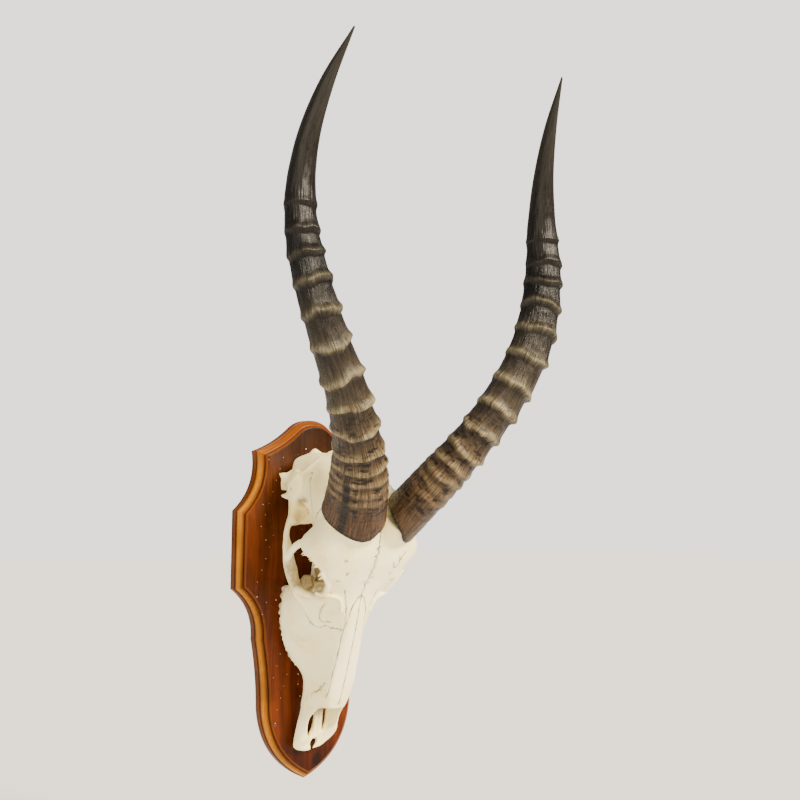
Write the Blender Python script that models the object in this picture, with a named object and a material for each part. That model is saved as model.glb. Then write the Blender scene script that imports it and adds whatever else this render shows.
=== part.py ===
"""A blesbok's skull and horns on a varnished pine shield that hangs on a wall.

Sizes are in millimetres until a mesh is finished, and then become metres. X runs across the shield, Y into
the wall and Z up. The origin is the middle of the shield's back. The skull lies nose down with its teeth
against the shield, so its forehead looks along -Y.
"""
import math

import bmesh
import bpy
import numpy as np
from mathutils import Vector

MM = 0.001
FIT_GAP = 0.3
SEAT_GAP = 0.4

# Shield: its right half's outline from the top to the tip, as (x, z) corners. The number after each corner is
# how far the edge before it bulges outwards, and the last is the number of straight pieces in that edge.
SHIELD_TOP = (0.0, 184.0)
SHIELD_EDGES = (
    ((22.0, 176.0), 2.3, 4),
    ((64.2, 150.5), -2.6, 4),
    ((84.8, 89.2), -8.8, 6),
    ((84.8, 10.0), 0.0, 1),
    ((60.8, -41.0), -7.5, 6),
    ((53.2, -111.0), -1.6, 3),
    ((0.0, -185.5), 13.4, 8),
)
SHIELD_THICK = 19.8
# Routed edge, from the wall forwards: each step goes inwards and then towards the viewer.
SQUARE_EDGE = 8.6
MOULDING = ((0.9, 0.3), (0.9, 2.4), (1.9, 3.0), (1.7, 1.7), (0.7, 0.0), (0.4, 2.0), (1.3, 1.8))

# Horn, the right one: (x, y, z) of its middle line, with half its width across and half its width from side to
# side. The first row lies inside the skull and only sets the way in which the horn leaves it.
HORN_PATH = (
    (21.0, -110.5, 60.5, 36.5, 24.5),
    (28.5, -142.0, 87.5, 32.5, 23.0),
    (45.5, -178.0, 125.0, 28.5, 22.0),
    (66.5, -205.0, 162.5, 24.5, 21.5),
    (89.0, -222.5, 201.5, 21.5, 22.0),
    (110.5, -230.0, 242.5, 19.0, 22.0),
    (126.5, -229.0, 286.0, 17.5, 21.0),
    (135.5, -223.5, 330.5, 15.5, 18.5),
    (136.5, -220.0, 375.5, 12.5, 14.0),
    (133.0, -226.5, 420.5, 10.0, 10.0),
    (126.0, -244.5, 464.5, 6.5, 6.0),
    (116.5, -272.0, 507.0, 0.8, 0.8),
)
HORN_WIDE_AXIS = Vector((-0.48, -0.877, 0.0))
HORN_START = Vector((0.25, -0.7, 0.67))
HORN_SIDES = 12
# Rings of the horn: how far along it each crest is, and how far it stands out.
HORN_RINGS = (
    (40.0, 0.8), (51.0, 1.2), (62.0, 1.7), (75.0, 2.4), (92.0, 3.2), (115.0, 3.5), (141.0, 3.7),
    (167.0, 3.7), (197.0, 3.6), (226.0, 3.3), (253.0, 2.9), (277.0, 2.4), (298.0, 1.9), (321.0, 0.9),
)
RING_FRONT = math.radians(30.0)
# The lower rim: how far it lies up the horn from the end of the middle line, by the angle round the horn.
RIM_ANGLES = (0, 20, 37, 54, 70, 90, 110, 130, 160, 200, 240, 290, 330)
RIM_LEFT = (4.5, 0.0, -7.0, -9.5, -8.0, -5.4, -3.2, -1.6, 0.0, 2.0, 5.0, 7.5, 7.3)
RIM_RIGHT = (4.5, -0.4, -7.2, -11.0, -11.2, -10.0, -7.0, -3.6, 0.0, 2.0, 5.0, 7.5, 7.3)

# Skull.
BONE_VOXEL = 1.4
HOLLOW_VOXEL = 1.0
BONE_TRIANGLES = 4300

# Snout and cheeks: z, then half of the outline from the nose ridge round to the middle of the palate, (x, y).
FACE = (
    (-152.5, ((0, -27.5), (2, -28), (4, -28), (6, -27.8), (7.5, -27.2), (7.5, -26.6), (6, -26.2), (3, -26),
               (0, -26))),
    (-150.5, ((0, -28.5), (4, -29), (8, -29.5), (11, -29.2), (12.5, -28), (12.5, -26.8), (10, -26),
               (5, -26), (0, -26))),
    (-147, ((0, -29.5), (6, -30), (12, -31), (17, -31), (19.5, -29.2), (20, -27.5), (17, -26), (8, -26),
             (0, -26))),
    (-142, ((0, -30.5), (6, -31.5), (12, -33.5), (19, -34.5), (23.5, -32), (24.8, -29), (21, -26.5),
             (9, -26), (0, -26))),
    (-136, ((0, -31.5), (6, -33), (11, -37), (17, -39.5), (22, -37), (25, -30.5), (22, -27.5), (9, -27),
             (0, -27))),
    (-128, ((0, -33), (6, -35), (12, -41), (17, -43.5), (20.5, -40), (23, -32), (20.5, -28.5), (9, -28),
             (0, -28))),
    (-119, ((0, -36), (6, -38), (13, -45.5), (17.5, -47), (19.5, -43), (21, -34), (18.5, -29.5), (9, -29),
             (0, -29))),
    (-111, ((0, -40), (6, -44), (13, -54), (17, -54.5), (18.5, -48), (19.5, -37), (18, -31), (9, -30.5),
             (0, -31))),
    (-107.5, ((0, -41.5), (6, -46), (12, -58), (17, -57), (18.7, -49), (19.5, -38), (18, -31.5),
               (9, -31.5), (0, -32))),
    (-105.5, ((0, -71.5), (8, -70), (12, -65), (16, -57.5), (18.6, -47.5), (19.5, -38), (18, -31.8),
               (9, -32), (0, -32.5))),
    (-103.5, ((0, -73.8), (8, -72.3), (12.2, -67.5), (16.2, -58), (18.6, -47), (19.6, -38), (18, -32),
               (9, -32.5), (0, -33))),
    (-90, ((0, -80), (8, -79), (13.5, -76), (17, -64), (19.5, -50), (20.5, -41.5), (17, -34.5), (10, -35),
          (0, -37))),
    (-75, ((0, -86.5), (8, -85.5), (13.5, -82.5), (17, -69), (20.5, -53), (22, -42), (18.5, -34),
          (11, -36), (0, -39))),
    (-60, ((0, -92), (8, -91), (13.5, -87), (19, -72), (25, -54), (30, -37), (27, -28), (14, -36),
          (0, -40))),
    (-45, ((0, -97.5), (7, -96.5), (13, -92), (21, -76), (30, -56), (36.5, -38), (36, -27.5),
          (20, -38), (0, -42))),
    (-25, ((0, -104.5), (7, -103.5), (13, -98), (24, -82), (35, -62), (41, -42), (40.5, -27.5),
          (23, -40), (0, -44))),
    (-10, ((0, -109), (8, -107.5), (16, -101), (28, -87), (37, -70), (42, -46), (41, -27.5),
          (24, -41), (0, -46))),
    (4, ((0, -112.5), (11, -111), (22, -105.5), (33, -90), (42, -72), (42, -50), (39, -27.5),
          (24, -43), (0, -48))),
    (14, ((0, -117), (14, -115.5), (26, -109), (32, -97), (38, -82), (40, -60), (35, -29),
          (24, -44), (0, -51))),
    (21, ((0, -120.5), (15, -119), (25, -112), (28, -101), (28, -86), (30, -66), (28, -42),
          (20, -48), (0, -53))),
)
# Braincase and the narrow walls between the eyes.
CRANIUM = (
    (12, ((0, -114), (14, -112), (22, -106), (22, -92), (19, -78), (19, -64), (12, -52), (0, -50))),
    (24, ((0, -122), (14, -121), (24, -113), (23, -96), (20, -80), (22, -65), (13, -52), (0, -50))),
    (36, ((0, -132), (18, -130), (30, -121), (26, -102), (23, -83), (26, -66), (15, -53), (0, -51))),
    (50, ((0, -141), (25, -138), (36, -126), (31, -106), (26, -86), (27.5, -67), (16, -53), (0, -50))),
    (65, ((0, -146), (28, -145), (44, -128), (38, -106), (30, -85), (25, -65), (14, -50), (0, -46))),
    (80, ((0, -149), (30, -147), (47, -130), (42, -108), (35, -84), (26, -60), (15, -46), (0, -41))),
    (95, ((0, -147), (28, -144), (43, -128), (41, -108), (38, -84), (32, -58), (18, -42), (0, -37))),
    (112, ((0, -138), (24, -132), (36, -114), (38, -94), (38, -74), (38, -54), (28, -38), (0, -34))),
    (128, ((0, -119), (20, -113), (31, -96), (35, -79), (38, -64), (39.5, -46), (30, -35), (0, -32))),
    (138, ((0, -102), (17, -96), (27, -82), (32, -68), (35, -53), (36.5, -39), (27, -33), (0, -32))),
    (144, ((0, -88), (13, -84), (23, -74), (28, -62), (31, -50), (31.5, -39), (22, -34), (0, -33))),
    (149, ((0, -76), (9, -73), (16, -66), (20, -59), (22, -50), (20, -42), (13, -37), (0, -36))),
)
# Forehead, a shelf that reaches out over each eye: its outline turns at the rim and comes back underneath.
FOREHEAD = (
    (12, ((0, -116), (14, -114.5), (25, -108.5), (31, -100), (34, -95), (34, -91), (31, -90),
          (28, -93), (14, -107), (0, -109))),
    (24, ((0, -123.5), (16, -123), (27, -121), (34, -119), (38, -117), (39.5, -114), (37.5, -111),
          (28, -113), (16, -116), (0, -117))),
    (36, ((0, -133), (18, -132), (34, -128.5), (42, -124), (46, -119), (47.5, -113), (45, -111),
          (36, -118), (18, -124), (0, -125))),
    (45, ((0, -139), (18, -138), (36, -134), (48.5, -127.5), (54, -119), (54.5, -108.5), (51, -107.5),
          (45, -118), (24, -128), (0, -130))),
    (52, ((0, -142.5), (18, -141.5), (38, -137), (52, -130), (58, -120), (59, -102), (54.5, -101),
          (51, -113), (24, -130), (0, -133))),
    (59, ((0, -144.5), (18, -144), (39, -139.5), (53, -131), (59.5, -119), (58.5, -95), (53, -95),
          (50, -113), (24, -131), (0, -134))),
    (67, ((0, -146.5), (18, -147), (38, -142.5), (51, -132), (57, -119), (57, -98), (52, -98),
          (46, -116), (24, -131), (0, -135))),
    (76, ((0, -148), (18, -149), (34, -145), (46, -134), (51, -121), (49.5, -102), (44, -102),
          (39, -120), (20, -133), (0, -136))),
    (85, ((0, -148), (18, -148), (32, -145), (42, -134), (46, -122), (44, -108), (40, -108),
          (36, -122), (20, -133), (0, -136))),
)
# Paired rods of bone: (x, y, z) of the middle line, then half the rod's size square to ROD_UP and along it.
ROD_UP = Vector((1.0, -0.2, 0.0))
ZYGOMATIC_ARCH = (
    (25, -78, -26, 1.2, 1.2), (30, -75.5, -17, 2.0, 2.0), (35, -71.5, -9, 2.6, 3.0),
    (41, -70.5, 2, 3.4, 4.0),
    (46, -69, 12, 3.6, 6.4), (49, -66.5, 22, 3.4, 7.4), (50.5, -63.5, 32, 3.2, 8.4),
    (52, -61.3, 42, 3.0, 7.6),
    (53, -59.5, 56, 3.0, 5.5), (53.3, -57.4, 66, 3.1, 3.2), (51.5, -57.5, 76, 3.4, 3.0),
    (46, -58, 86, 6.0, 4.0),
    (40, -58, 96, 7.0, 6.0), (34, -58, 106, 7.0, 6.0),
)
ARCH_ROOT = (
    (44, -62, 77.5, 4.0, 6.0), (45, -58, 84, 6.0, 6.0), (41, -55.5, 92, 9.0, 8.0),
    (38, -54, 101, 12.0, 9.0),
    (38.5, -52.5, 110, 14.0, 8.0), (38, -53, 119, 14.0, 8.0), (34, -55, 127, 12.0, 8.0),
)
TEMPLE_FLOOR = ((33, -57, 79, 9.0, 10.0), (34, -59, 90, 13.0, 9.0), (35, -62, 102, 16.0, 9.0))
POST_EYE_BAR = (
    (56, -108, 58, 6.0, 3.0), (57, -96, 60, 4.6, 2.6), (56.8, -85, 57.5, 4.0, 2.5), (56, -74, 52, 4.0, 2.8),
    (54, -64, 46, 5.0, 3.4),
)
FRONT_RIM = (
    (47, -116, 33, 1.6, 1.8), (38, -113, 21.5, 2.2, 2.2), (34.5, -105, 13.5, 2.4, 2.8),
    (34.5, -96, 10, 2.8, 3.6),
    (38, -88, 8.5, 3.2, 4.6), (44, -80, 10.5, 3.6, 4.8), (50, -72, 16, 3.6, 5.0),
)
TEAR_RIDGE = (
    (42, -96, 12, 2.0, 2.0), (37, -101, 10, 1.8, 1.8), (30, -105.5, 9, 1.8, 1.8), (23, -108, 7, 1.8, 1.8),
    (19, -107.5, 2, 1.6, 1.6), (17, -104, -8, 1.4, 1.4),
)
CHEEK_BULGE = (
    (21, -71, -43, 1.0, 1.0), (29, -59, -42, 2.8, 2.6), (33.5, -50, -38, 3.4, 3.0),
    (37, -43, -29, 3.0, 3.0),
)
EYE_FLOOR = (
    (33, -60, 4, 16.0, 9.0), (32, -62, 14, 14.0, 8.5), (31, -63, 21.5, 9.5, 6.5), (31, -63, 27, 5.5, 4.5),
)
NUCHAL_CREST = (
    (0, -77, 145, 2.0, 2.0), (12, -70, 146.5, 2.0, 2.0), (22, -67, 142.5, 2.0, 2.0),
    (29.5, -63, 134, 2.0, 2.0),
    (35, -57, 130, 2.0, 2.0), (39.5, -52, 125, 2.0, 2.0), (42, -48, 117, 2.2, 2.0),
    (42, -50, 108, 2.4, 2.4),
)
MASTOID = (
    (30, -50, 128, 9.0, 5.0), (38, -41, 124, 8.5, 3.2), (42, -35.5, 124, 6.0, 2.0),
    (45, -31.5, 126, 3.6, 1.5),
    (47, -28.5, 128, 0.9, 0.8),
)
MASTOID_PLATE = (
    (36, -44, 119, 8.0, 3.2), (41, -37, 118, 8.0, 2.2), (44, -32.5, 117.5, 7.6, 1.5),
    (45.5, -30, 117.5, 7.0, 0.9),
)
EAR_SPUR = (
    (39, -50, 108, 6.0, 4.0), (43, -43, 105.5, 4.4, 2.6), (45.5, -37.5, 105, 2.8, 1.6),
    (47, -34, 106, 1.4, 1.0),
)
PAROCCIPITAL = ((27, -42, 136, 5.0, 4.0), (29, -33, 134, 3.6, 2.8), (29, -26, 131, 1.6, 1.4))
CONDYLE = ((5, -38, 147, 4.0, 4.0), (12, -40, 148, 6.0, 5.0), (16, -46, 146, 4.0, 4.0))
EAR_BULLA = ((18, -38, 118, 6.0, 5.0), (20, -32, 112, 7.0, 6.0), (19, -29, 104, 3.0, 3.0))
PTERYGOID = (
    (17, -50, 14, 3.0, 8.0), (12, -45, 26, 1.8, 8.5), (10, -43, 40, 1.6, 8.0), (11, -41, 52, 1.4, 5.0),
    (12, -38, 58, 0.9, 2.0),
)
PEDICLE = ((20, -117, 64, 24.0, 18.0), (24, -130, 76, 26.5, 19.5), (28.3, -142.1, 87.5, 29.0, 20.5))

# Hollows, taken out of the bone.
NOSE_HOLLOW = (
    (-139, ((0, -60), (3, -60), (5, -50), (5.5, -40), (4.5, -33), (2.5, -31.5), (0, -31.5))),
    (-133, ((0, -60), (8, -60), (13.5, -46), (14, -38), (12, -32.5), (6, -31), (0, -31))),
    (-125, ((0, -62), (11, -62), (16.3, -48), (16.3, -40), (13.5, -33), (6, -31), (0, -31))),
    (-115, ((0, -68), (11, -68), (15.8, -54), (16, -42), (13, -34), (6, -32), (0, -32))),
    (-108, ((0, -71), (9, -71), (13.5, -62), (15.5, -48), (13.5, -36.5), (6, -35), (0, -35))),
    (-102, ((0, -70), (6, -69), (11, -62.5), (14.5, -52), (15, -44), (8, -37.5), (0, -37.5))),
    (-88, ((0, -77), (6, -76), (11, -70), (15, -57), (17, -45), (10, -40), (0, -41.5))),
    (-60, ((0, -88), (6, -87), (11, -80), (17, -64), (19, -50), (11, -43), (0, -45))),
    (-30, ((0, -97), (6, -96), (12, -87), (20, -70), (23, -57), (12, -47), (0, -48))),
    (-2, ((0, -98), (5, -97), (10, -90), (14, -77), (14.5, -65), (9, -54), (0, -53))),
)
# The right slit is narrower and nearer to the middle than the left one.
PALATE_SLITS = (
    ((-6.3, -31, -104, 7.0, 0.8), (-6.5, -31, -110, 7.0, 2.8), (-6.6, -30, -120, 6.0, 4.0),
      (-7, -30, -129, 6.0, 3.6),
     (-8.2, -29.5, -134, 6.0, 2.0), (-8.8, -29, -137.5, 6.0, 0.8)),
    ((8, -34, -99, 8.0, 1.2), (8.3, -33, -106, 8.0, 2.2), (8.6, -31, -116, 7.0, 2.6),
      (8.4, -30, -126, 6.0, 2.4),
     (7.6, -29.5, -136, 6.0, 0.8)),
)
LIP_GAP = (
    (-0.3, -28, -138.5, 7.0, 0.6), (-1.5, -28, -143, 7.0, 3.8), (-1.8, -28, -146.5, 7.0, 4.0),
    (-2.4, -28, -150, 7.0, 1.7), (-2.4, -28, -157, 7.0, 1.3),
)
# The two slim bones between the slits.
SLIT_BONES = (
    ((-1.6, -31, -141, 1.5, 1.5), (-1.6, -31.5, -128, 1.7, 1.7), (-1.4, -33.5, -116, 1.8, 1.7),
     (-1.2, -38, -104, 1.8, 1.6), (-1.2, -43, -94, 1.8, 1.6)),
    ((3.6, -31, -139, 1.6, 3.0), (3.6, -32, -128, 2.0, 3.0), (3.4, -34, -116, 2.2, 2.8),
      (3, -38.5, -104, 2.2, 2.2),
     (2.5, -43, -94, 2.0, 1.8)),
)
# The snout's end is skewed: below SKEW_FROM it moves up by this much for each step to the right, growing from
# nothing over a length of SKEW_OVER.
SNOUT_SKEW = 0.25
SKEW_FROM = 122.0
SKEW_OVER = 16.0
CHOANA = ((0, -44, 4, 5.0, 7.0), (0, -42, 20, 9.0, 8.0), (0, -38, 40, 10.0, 7.5), (0, -32, 60, 9.0, 7.0))
BRAIN_HOLE = (
    (0, -48, 158, 8.5, 10.5), (0, -50, 149, 8.5, 10.5), (0, -56, 140, 10.0, 12.0),
    (0, -66, 128, 16.0, 18.0),
    (0, -74, 112, 16.0, 16.0), (0, -78, 102, 6.0, 6.0),
)
TEAR_PIT = (
    (24.5, -107.5, -22, 2.0, 2.0), (29, -105, -12, 8.0, 5.4), (31.5, -102.5, -4, 7.5, 5.8),
    (32, -101, 3.5, 3.6, 3.6),
)
EAR_HOLE = ((52, -50, 112, 2.6, 2.6), (36, -52, 114, 2.4, 2.4), (30, -54, 115, 1.2, 1.2))
NERVE_HOLE = ((30, -88, 56, 4.0, 4.0), (18, -84, 62, 3.4, 3.4), (8, -82, 66, 2.0, 2.0))

# Cheek teeth: a row that bows outwards, from the first premolar to the last molar.
TOOTH_LENGTHS = (8.4, 10.0, 11.0, 14.4, 16.0, 16.4)
TOOTH_WIDTHS = (7.5, 9.0, 10.5, 12.5, 13.5, 13.0)
TOOTH_LOBES = (1, 1, 1, 2, 2, 2)
TOOTH_NAMES = ("premolar_2", "premolar_3", "premolar_4", "molar_1", "molar_2", "molar_3")
TOOTH_ROW_BOW = ((23.0, -61.5), (28.0, -45.0), (33.0, -25.0), (33.5, -5.0), (30.0, 15.0))
TOOTH_ROOT_Y = -40.0
TOOTH_TIP_Y = -(SHIELD_THICK + FIT_GAP)


def clear_scene():
    for item in list(bpy.data.objects):
        bpy.data.objects.remove(item, do_unlink=True)


def srgb(hex_colour):
    """The linear colour of an sRGB hex value."""
    parts = [int(hex_colour[i:i + 2], 16) / 255 for i in (1, 3, 5)]
    return [c / 12.92 if c <= 0.04045 else ((c + 0.055) / 1.055) ** 2.4 for c in parts] + [1.0]


def surface(name, hex_colour, roughness):
    material = bpy.data.materials.new(name)
    material.use_nodes = True
    shader = material.node_tree.nodes["Principled BSDF"]
    shader.inputs["Base Color"].default_value = srgb(hex_colour)
    shader.inputs["Roughness"].default_value = roughness
    shader.inputs["Metallic"].default_value = 0.0
    material.diffuse_color = srgb(hex_colour)
    return material


def curve_through(points, steps):
    """Rows on a smooth curve through the given rows, with so many steps from each to the next."""
    rows = np.array(points, float)
    rows = np.vstack([2 * rows[0] - rows[1], rows, 2 * rows[-1] - rows[-2]])
    out = []
    for before, start, end, after in zip(rows, rows[1:], rows[2:], rows[3:]):
        for step in range(steps):
            t = step / steps
            out.append(0.5 * (2 * start + (end - before) * t
                              + (2 * before - 5 * start + 4 * end - after) * t * t
                              + (3 * start - before - 3 * end + after) * t ** 3))
    out.append(rows[-2])
    return np.array(out)


def skin(bm, rings):
    """Grows a closed tube from ring to ring by extruding its open edge, and closes both ends."""
    verts = bmesh.ops.create_circle(bm, segments=len(rings[0]), radius=1.0)["verts"]
    for vert, place in zip(verts, rings[0]):
        vert.co = place
    edges = [bm.edges.get((a, b)) for a, b in zip(verts, verts[1:] + verts[:1])]
    made = list(bmesh.ops.contextual_create(bm, geom=edges)["faces"])
    for ring in rings[1:]:
        grown = bmesh.ops.extrude_edge_only(bm, edges=edges)["geom"]
        made += [item for item in grown if isinstance(item, bmesh.types.BMFace)]
        fresh = {item for item in grown if isinstance(item, bmesh.types.BMVert)}
        verts = [next(e.other_vert(v) for e in v.link_edges if e.other_vert(v) in fresh) for v in verts]
        for vert, place in zip(verts, ring):
            vert.co = place
        edges = [bm.edges.get((a, b)) for a, b in zip(verts, verts[1:] + verts[:1])]
    made += bmesh.ops.contextual_create(bm, geom=edges)["faces"]
    caps = [made[0], made[-1]]
    bmesh.ops.recalc_face_normals(bm, faces=made)
    bmesh.ops.poke(bm, faces=caps)


def body(bm, stations, around, along):
    """A form that is the same on both sides, skinned over half outlines at heights z."""
    rows = np.array([[z] + [value for point in outline for value in point] for z, outline in stations], float)
    rings = []
    for row in curve_through(rows, along):
        half = curve_through(row[1:].reshape(-1, 2), around)
        outline = [(x, y) for x, y in half] + [(-x, y) for x, y in half[-2:0:-1]]
        rings.append([Vector((x, y, row[0])) for x, y in outline])
    skin(bm, rings)


def rod_rings(path, steps, sides, up):
    """Oval rings across a smooth path of (x, y, z, half the size square to up, half the size along up)."""
    rows = curve_through(path, steps)
    rings = []
    for i, row in enumerate(rows):
        ahead = Vector(rows[min(i + 1, len(rows) - 1)][:3] - rows[max(i - 1, 0)][:3]).normalized()
        high = (up - ahead * up.dot(ahead)).normalized()
        wide = ahead.cross(high)
        ring = []
        for k in range(sides):
            turn = 2 * math.pi * k / sides
            ring.append(Vector(row[:3]) + wide * (row[3] * math.cos(turn)) + high * (row[4] * math.sin(turn)))
        rings.append(ring)
    return rings


def rods(bm, path, up=ROD_UP, steps=4, sides=10, sides_of_head=(1, -1)):
    """A rod of bone on each side of the head."""
    for side in sides_of_head:
        mirrored = [(side * row[0],) + tuple(row[1:]) for row in path]
        skin(bm, rod_rings(mirrored, steps, sides, Vector((side * up.x, up.y, up.z))))


def finished_mesh(bm, name):
    """Turns millimetres into metres and ends the mesh."""
    bmesh.ops.scale(bm, vec=(MM, MM, MM), verts=bm.verts)
    mesh = bpy.data.meshes.new(name)
    bm.to_mesh(mesh)
    bm.free()
    mesh.shade_smooth()
    return mesh


def add_object(name, mesh, material=None):
    item = bpy.data.objects.new(name, mesh)
    bpy.context.scene.collection.objects.link(item)
    if material:
        mesh.materials.append(material)
    return item


def add_cutter(name, bm):
    cutter = add_object(name, finished_mesh(bm, name))
    cutter.hide_render = True
    cutter.display_type = "WIRE"
    return cutter


def subtract(item, cutter):
    cut = item.modifiers.new("cut " + cutter.name, "BOOLEAN")
    cut.operation = "DIFFERENCE"
    cut.object = cutter


def grow_together(item, voxel):
    remesh = item.modifiers.new("grow together", "REMESH")
    remesh.mode = "VOXEL"
    remesh.voxel_size = voxel * MM


def bake(item):
    """Makes what the modifiers give the object's own mesh."""
    graph = bpy.context.evaluated_depsgraph_get()
    mesh = bpy.data.meshes.new_from_object(item.evaluated_get(graph))
    item.modifiers.clear()
    item.data = mesh


def arc(start, end, bulge, steps):
    """Points after start on an arc that bulges to the left of the way from start to end."""
    start = Vector(start)
    chord = Vector(end) - start
    left = Vector((-chord.y, chord.x)).normalized()
    points = []
    for step in range(1, steps + 1):
        t = step / steps
        points.append(start + chord * t + left * (bulge * 4 * t * (1 - t)))
    return points


def shield(material):
    points = [Vector(SHIELD_TOP)]
    for corner, bulge, steps in SHIELD_EDGES:
        points += arc(points[-1], corner, bulge, steps)
    left_side = [Vector((-p.x, p.y)) for p in reversed(points[1:-1])]
    bm = bmesh.new()
    bmesh.ops.create_circle(bm, segments=len(points + left_side), radius=1.0, cap_ends=True)
    bm.verts.ensure_lookup_table()
    for vert, place in zip(bm.verts, points + left_side):
        vert.co = (place.x, 0.0, place.y)
    bmesh.ops.recalc_face_normals(bm, faces=bm.faces)
    front = bmesh.ops.extrude_face_region(bm, geom=list(bm.faces))["geom"]
    moved = [v for v in front if isinstance(v, bmesh.types.BMVert)]
    bmesh.ops.translate(bm, vec=(0, -SQUARE_EDGE, 0), verts=moved)
    face = [f for f in front if isinstance(f, bmesh.types.BMFace)]
    bmesh.ops.recalc_face_normals(bm, faces=bm.faces)
    for inwards, forwards in MOULDING:
        bmesh.ops.inset_region(bm, faces=face, thickness=inwards, depth=forwards, use_even_offset=True)
    bmesh.ops.triangulate(bm, faces=[f for f in bm.faces if len(f.verts) > 4])
    mesh = finished_mesh(bm, "plaque")
    mesh.set_sharp_from_angle(angle=math.radians(30))
    return add_object("plaque", mesh, material)


def ring_height(along, turn):
    """How far the horn's surface stands out at a place: steep below a ring's crest and slow above it."""
    height = 0.0
    for i, (crest, strength) in enumerate(HORN_RINGS):
        room = HORN_RINGS[min(i + 1, len(HORN_RINGS) - 1)][0] - crest or 20.0
        offset = along - crest
        if offset < 0:
            shape = math.exp(-((offset / 3.0) ** 2))
        else:
            shape = math.exp(-((offset / (0.42 * room)) ** 2))
        height = max(height, strength * shape)
    return height * (0.75 + 0.4 * math.cos(turn - RING_FRONT))


def horn_places():
    """How far along the horn each ring of points goes: close together where a ring of the horn is."""
    places = {0.0, 12.0, 26.0, 345.0, 375.0, 405.0, 435.0, 462.0, 478.0}
    for i, (crest, _) in enumerate(HORN_RINGS):
        room = HORN_RINGS[min(i + 1, len(HORN_RINGS) - 1)][0] - crest or 20.0
        places |= {crest - 4.0, crest - 0.8, crest + 0.28 * room}
    return sorted(places)


def horn_rings(side, swell=0.0):
    """The horn's rings of points. side is 1 for the right horn and -1 for the left."""
    rows = curve_through(HORN_PATH, 24)[24:]
    along = np.concatenate([[0.0], np.cumsum(np.linalg.norm(np.diff(rows[:, :3], axis=0), axis=1))])
    places = [place for place in horn_places() if place < along[-1] - 1.0] + [along[-1]]
    ring_places = [crest for crest, _ in HORN_RINGS]
    strengths = [strength for _, strength in HORN_RINGS]
    rim_heights = RIM_RIGHT if side > 0 else RIM_LEFT
    rings = []
    for place in places:
        row = np.array([np.interp(place, along, rows[:, k]) for k in range(5)])
        near = min(int(np.searchsorted(along, place)), len(rows) - 2)
        ahead = Vector(rows[near + 1][:3] - rows[max(near - 1, 0)][:3]).normalized()
        wide = (HORN_WIDE_AXIS - ahead * HORN_WIDE_AXIS.dot(ahead)).normalized()
        deep = ahead.cross(wide)
        fade = math.exp(-place / 14.0)
        sunk = swell - 0.85 * np.interp(place, ring_places, strengths, right=0.0)
        ring = []
        for k in range(HORN_SIDES):
            turn = 2 * math.pi * k / HORN_SIDES
            lift = sunk + ring_height(place, turn)
            point = (Vector(row[:3]) + wide * ((row[3] + lift) * math.cos(turn))
                     + deep * ((row[4] + lift) * math.sin(turn)))
            rim = np.interp(math.degrees(turn), RIM_ANGLES, rim_heights, period=360)
            point += ahead * (rim * fade - (swell if place == 0.0 else 0.0))
            ring.append(Vector((side * point.x, point.y, point.z)))
        rings.append(ring)
    return rings


def horn(name, side, material):
    bm = bmesh.new()
    skin(bm, horn_rings(side))
    return add_object(name, finished_mesh(bm, name), material)


def tooth_rings(place, heading, length, width, side, lobes, swell=0.0):
    """A cheek tooth from its root to its chewing face, with a rounded outer pillar for each of its lobes."""
    across = Vector((heading.y, -heading.x)) * side
    rings = []
    for y, share in ((TOOTH_ROOT_Y - swell, 0.9), (TOOTH_TIP_Y - 2.0, 1.0), (TOOTH_TIP_Y + swell, 0.94)):
        ring = []
        for k in range(16):
            turn = 2 * math.pi * k / 16
            u = math.copysign(abs(math.cos(turn)) ** 0.5, math.cos(turn))
            v = math.copysign(abs(math.sin(turn)) ** 0.7, math.sin(turn))
            v *= 0.86 + 0.14 * math.cos(math.pi * (lobes * u + lobes - 1))
            grown_u = u * (length / 2 * (0.5 + share / 2) + swell)
            grown_v = v * (width / 2 * share + swell)
            flat = heading * grown_u + across * grown_v
            ring.append(Vector((place.x + flat.x, y, place.y + flat.y)))
        rings.append(ring)
    return rings


def tooth_places():
    """Middle and direction of each tooth in the right row, as (x, z) vectors."""
    bow = curve_through(TOOTH_ROW_BOW, 12)
    along = np.concatenate([[0.0], np.cumsum(np.linalg.norm(np.diff(bow, axis=0), axis=1))])
    start = (along[-1] - sum(TOOTH_LENGTHS)) / 2
    for length in TOOTH_LENGTHS:
        middle = start + length / 2
        ends = [Vector([np.interp(middle + step, along, bow[:, k]) for k in range(2)]) for step in (-1, 0, 1)]
        yield ends[1], (ends[2] - ends[0]).normalized()
        start += length


def teeth(material, sockets):
    shapes = zip(tooth_places(), TOOTH_LENGTHS, TOOTH_WIDTHS, TOOTH_LOBES, TOOTH_NAMES)
    for (place, heading), length, width, lobes, name in shapes:
        for side, side_name in ((-1, "left"), (1, "right")):
            where = Vector((side * place.x, place.y))
            facing = Vector((side * heading.x, heading.y))
            bm = bmesh.new()
            skin(bm, tooth_rings(where, facing, length - FIT_GAP, width, side, lobes))
            add_object(f"{name}_{side_name}", finished_mesh(bm, name), material)
            skin(sockets, tooth_rings(where, facing, length - FIT_GAP, width, side, lobes, SEAT_GAP))


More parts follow.
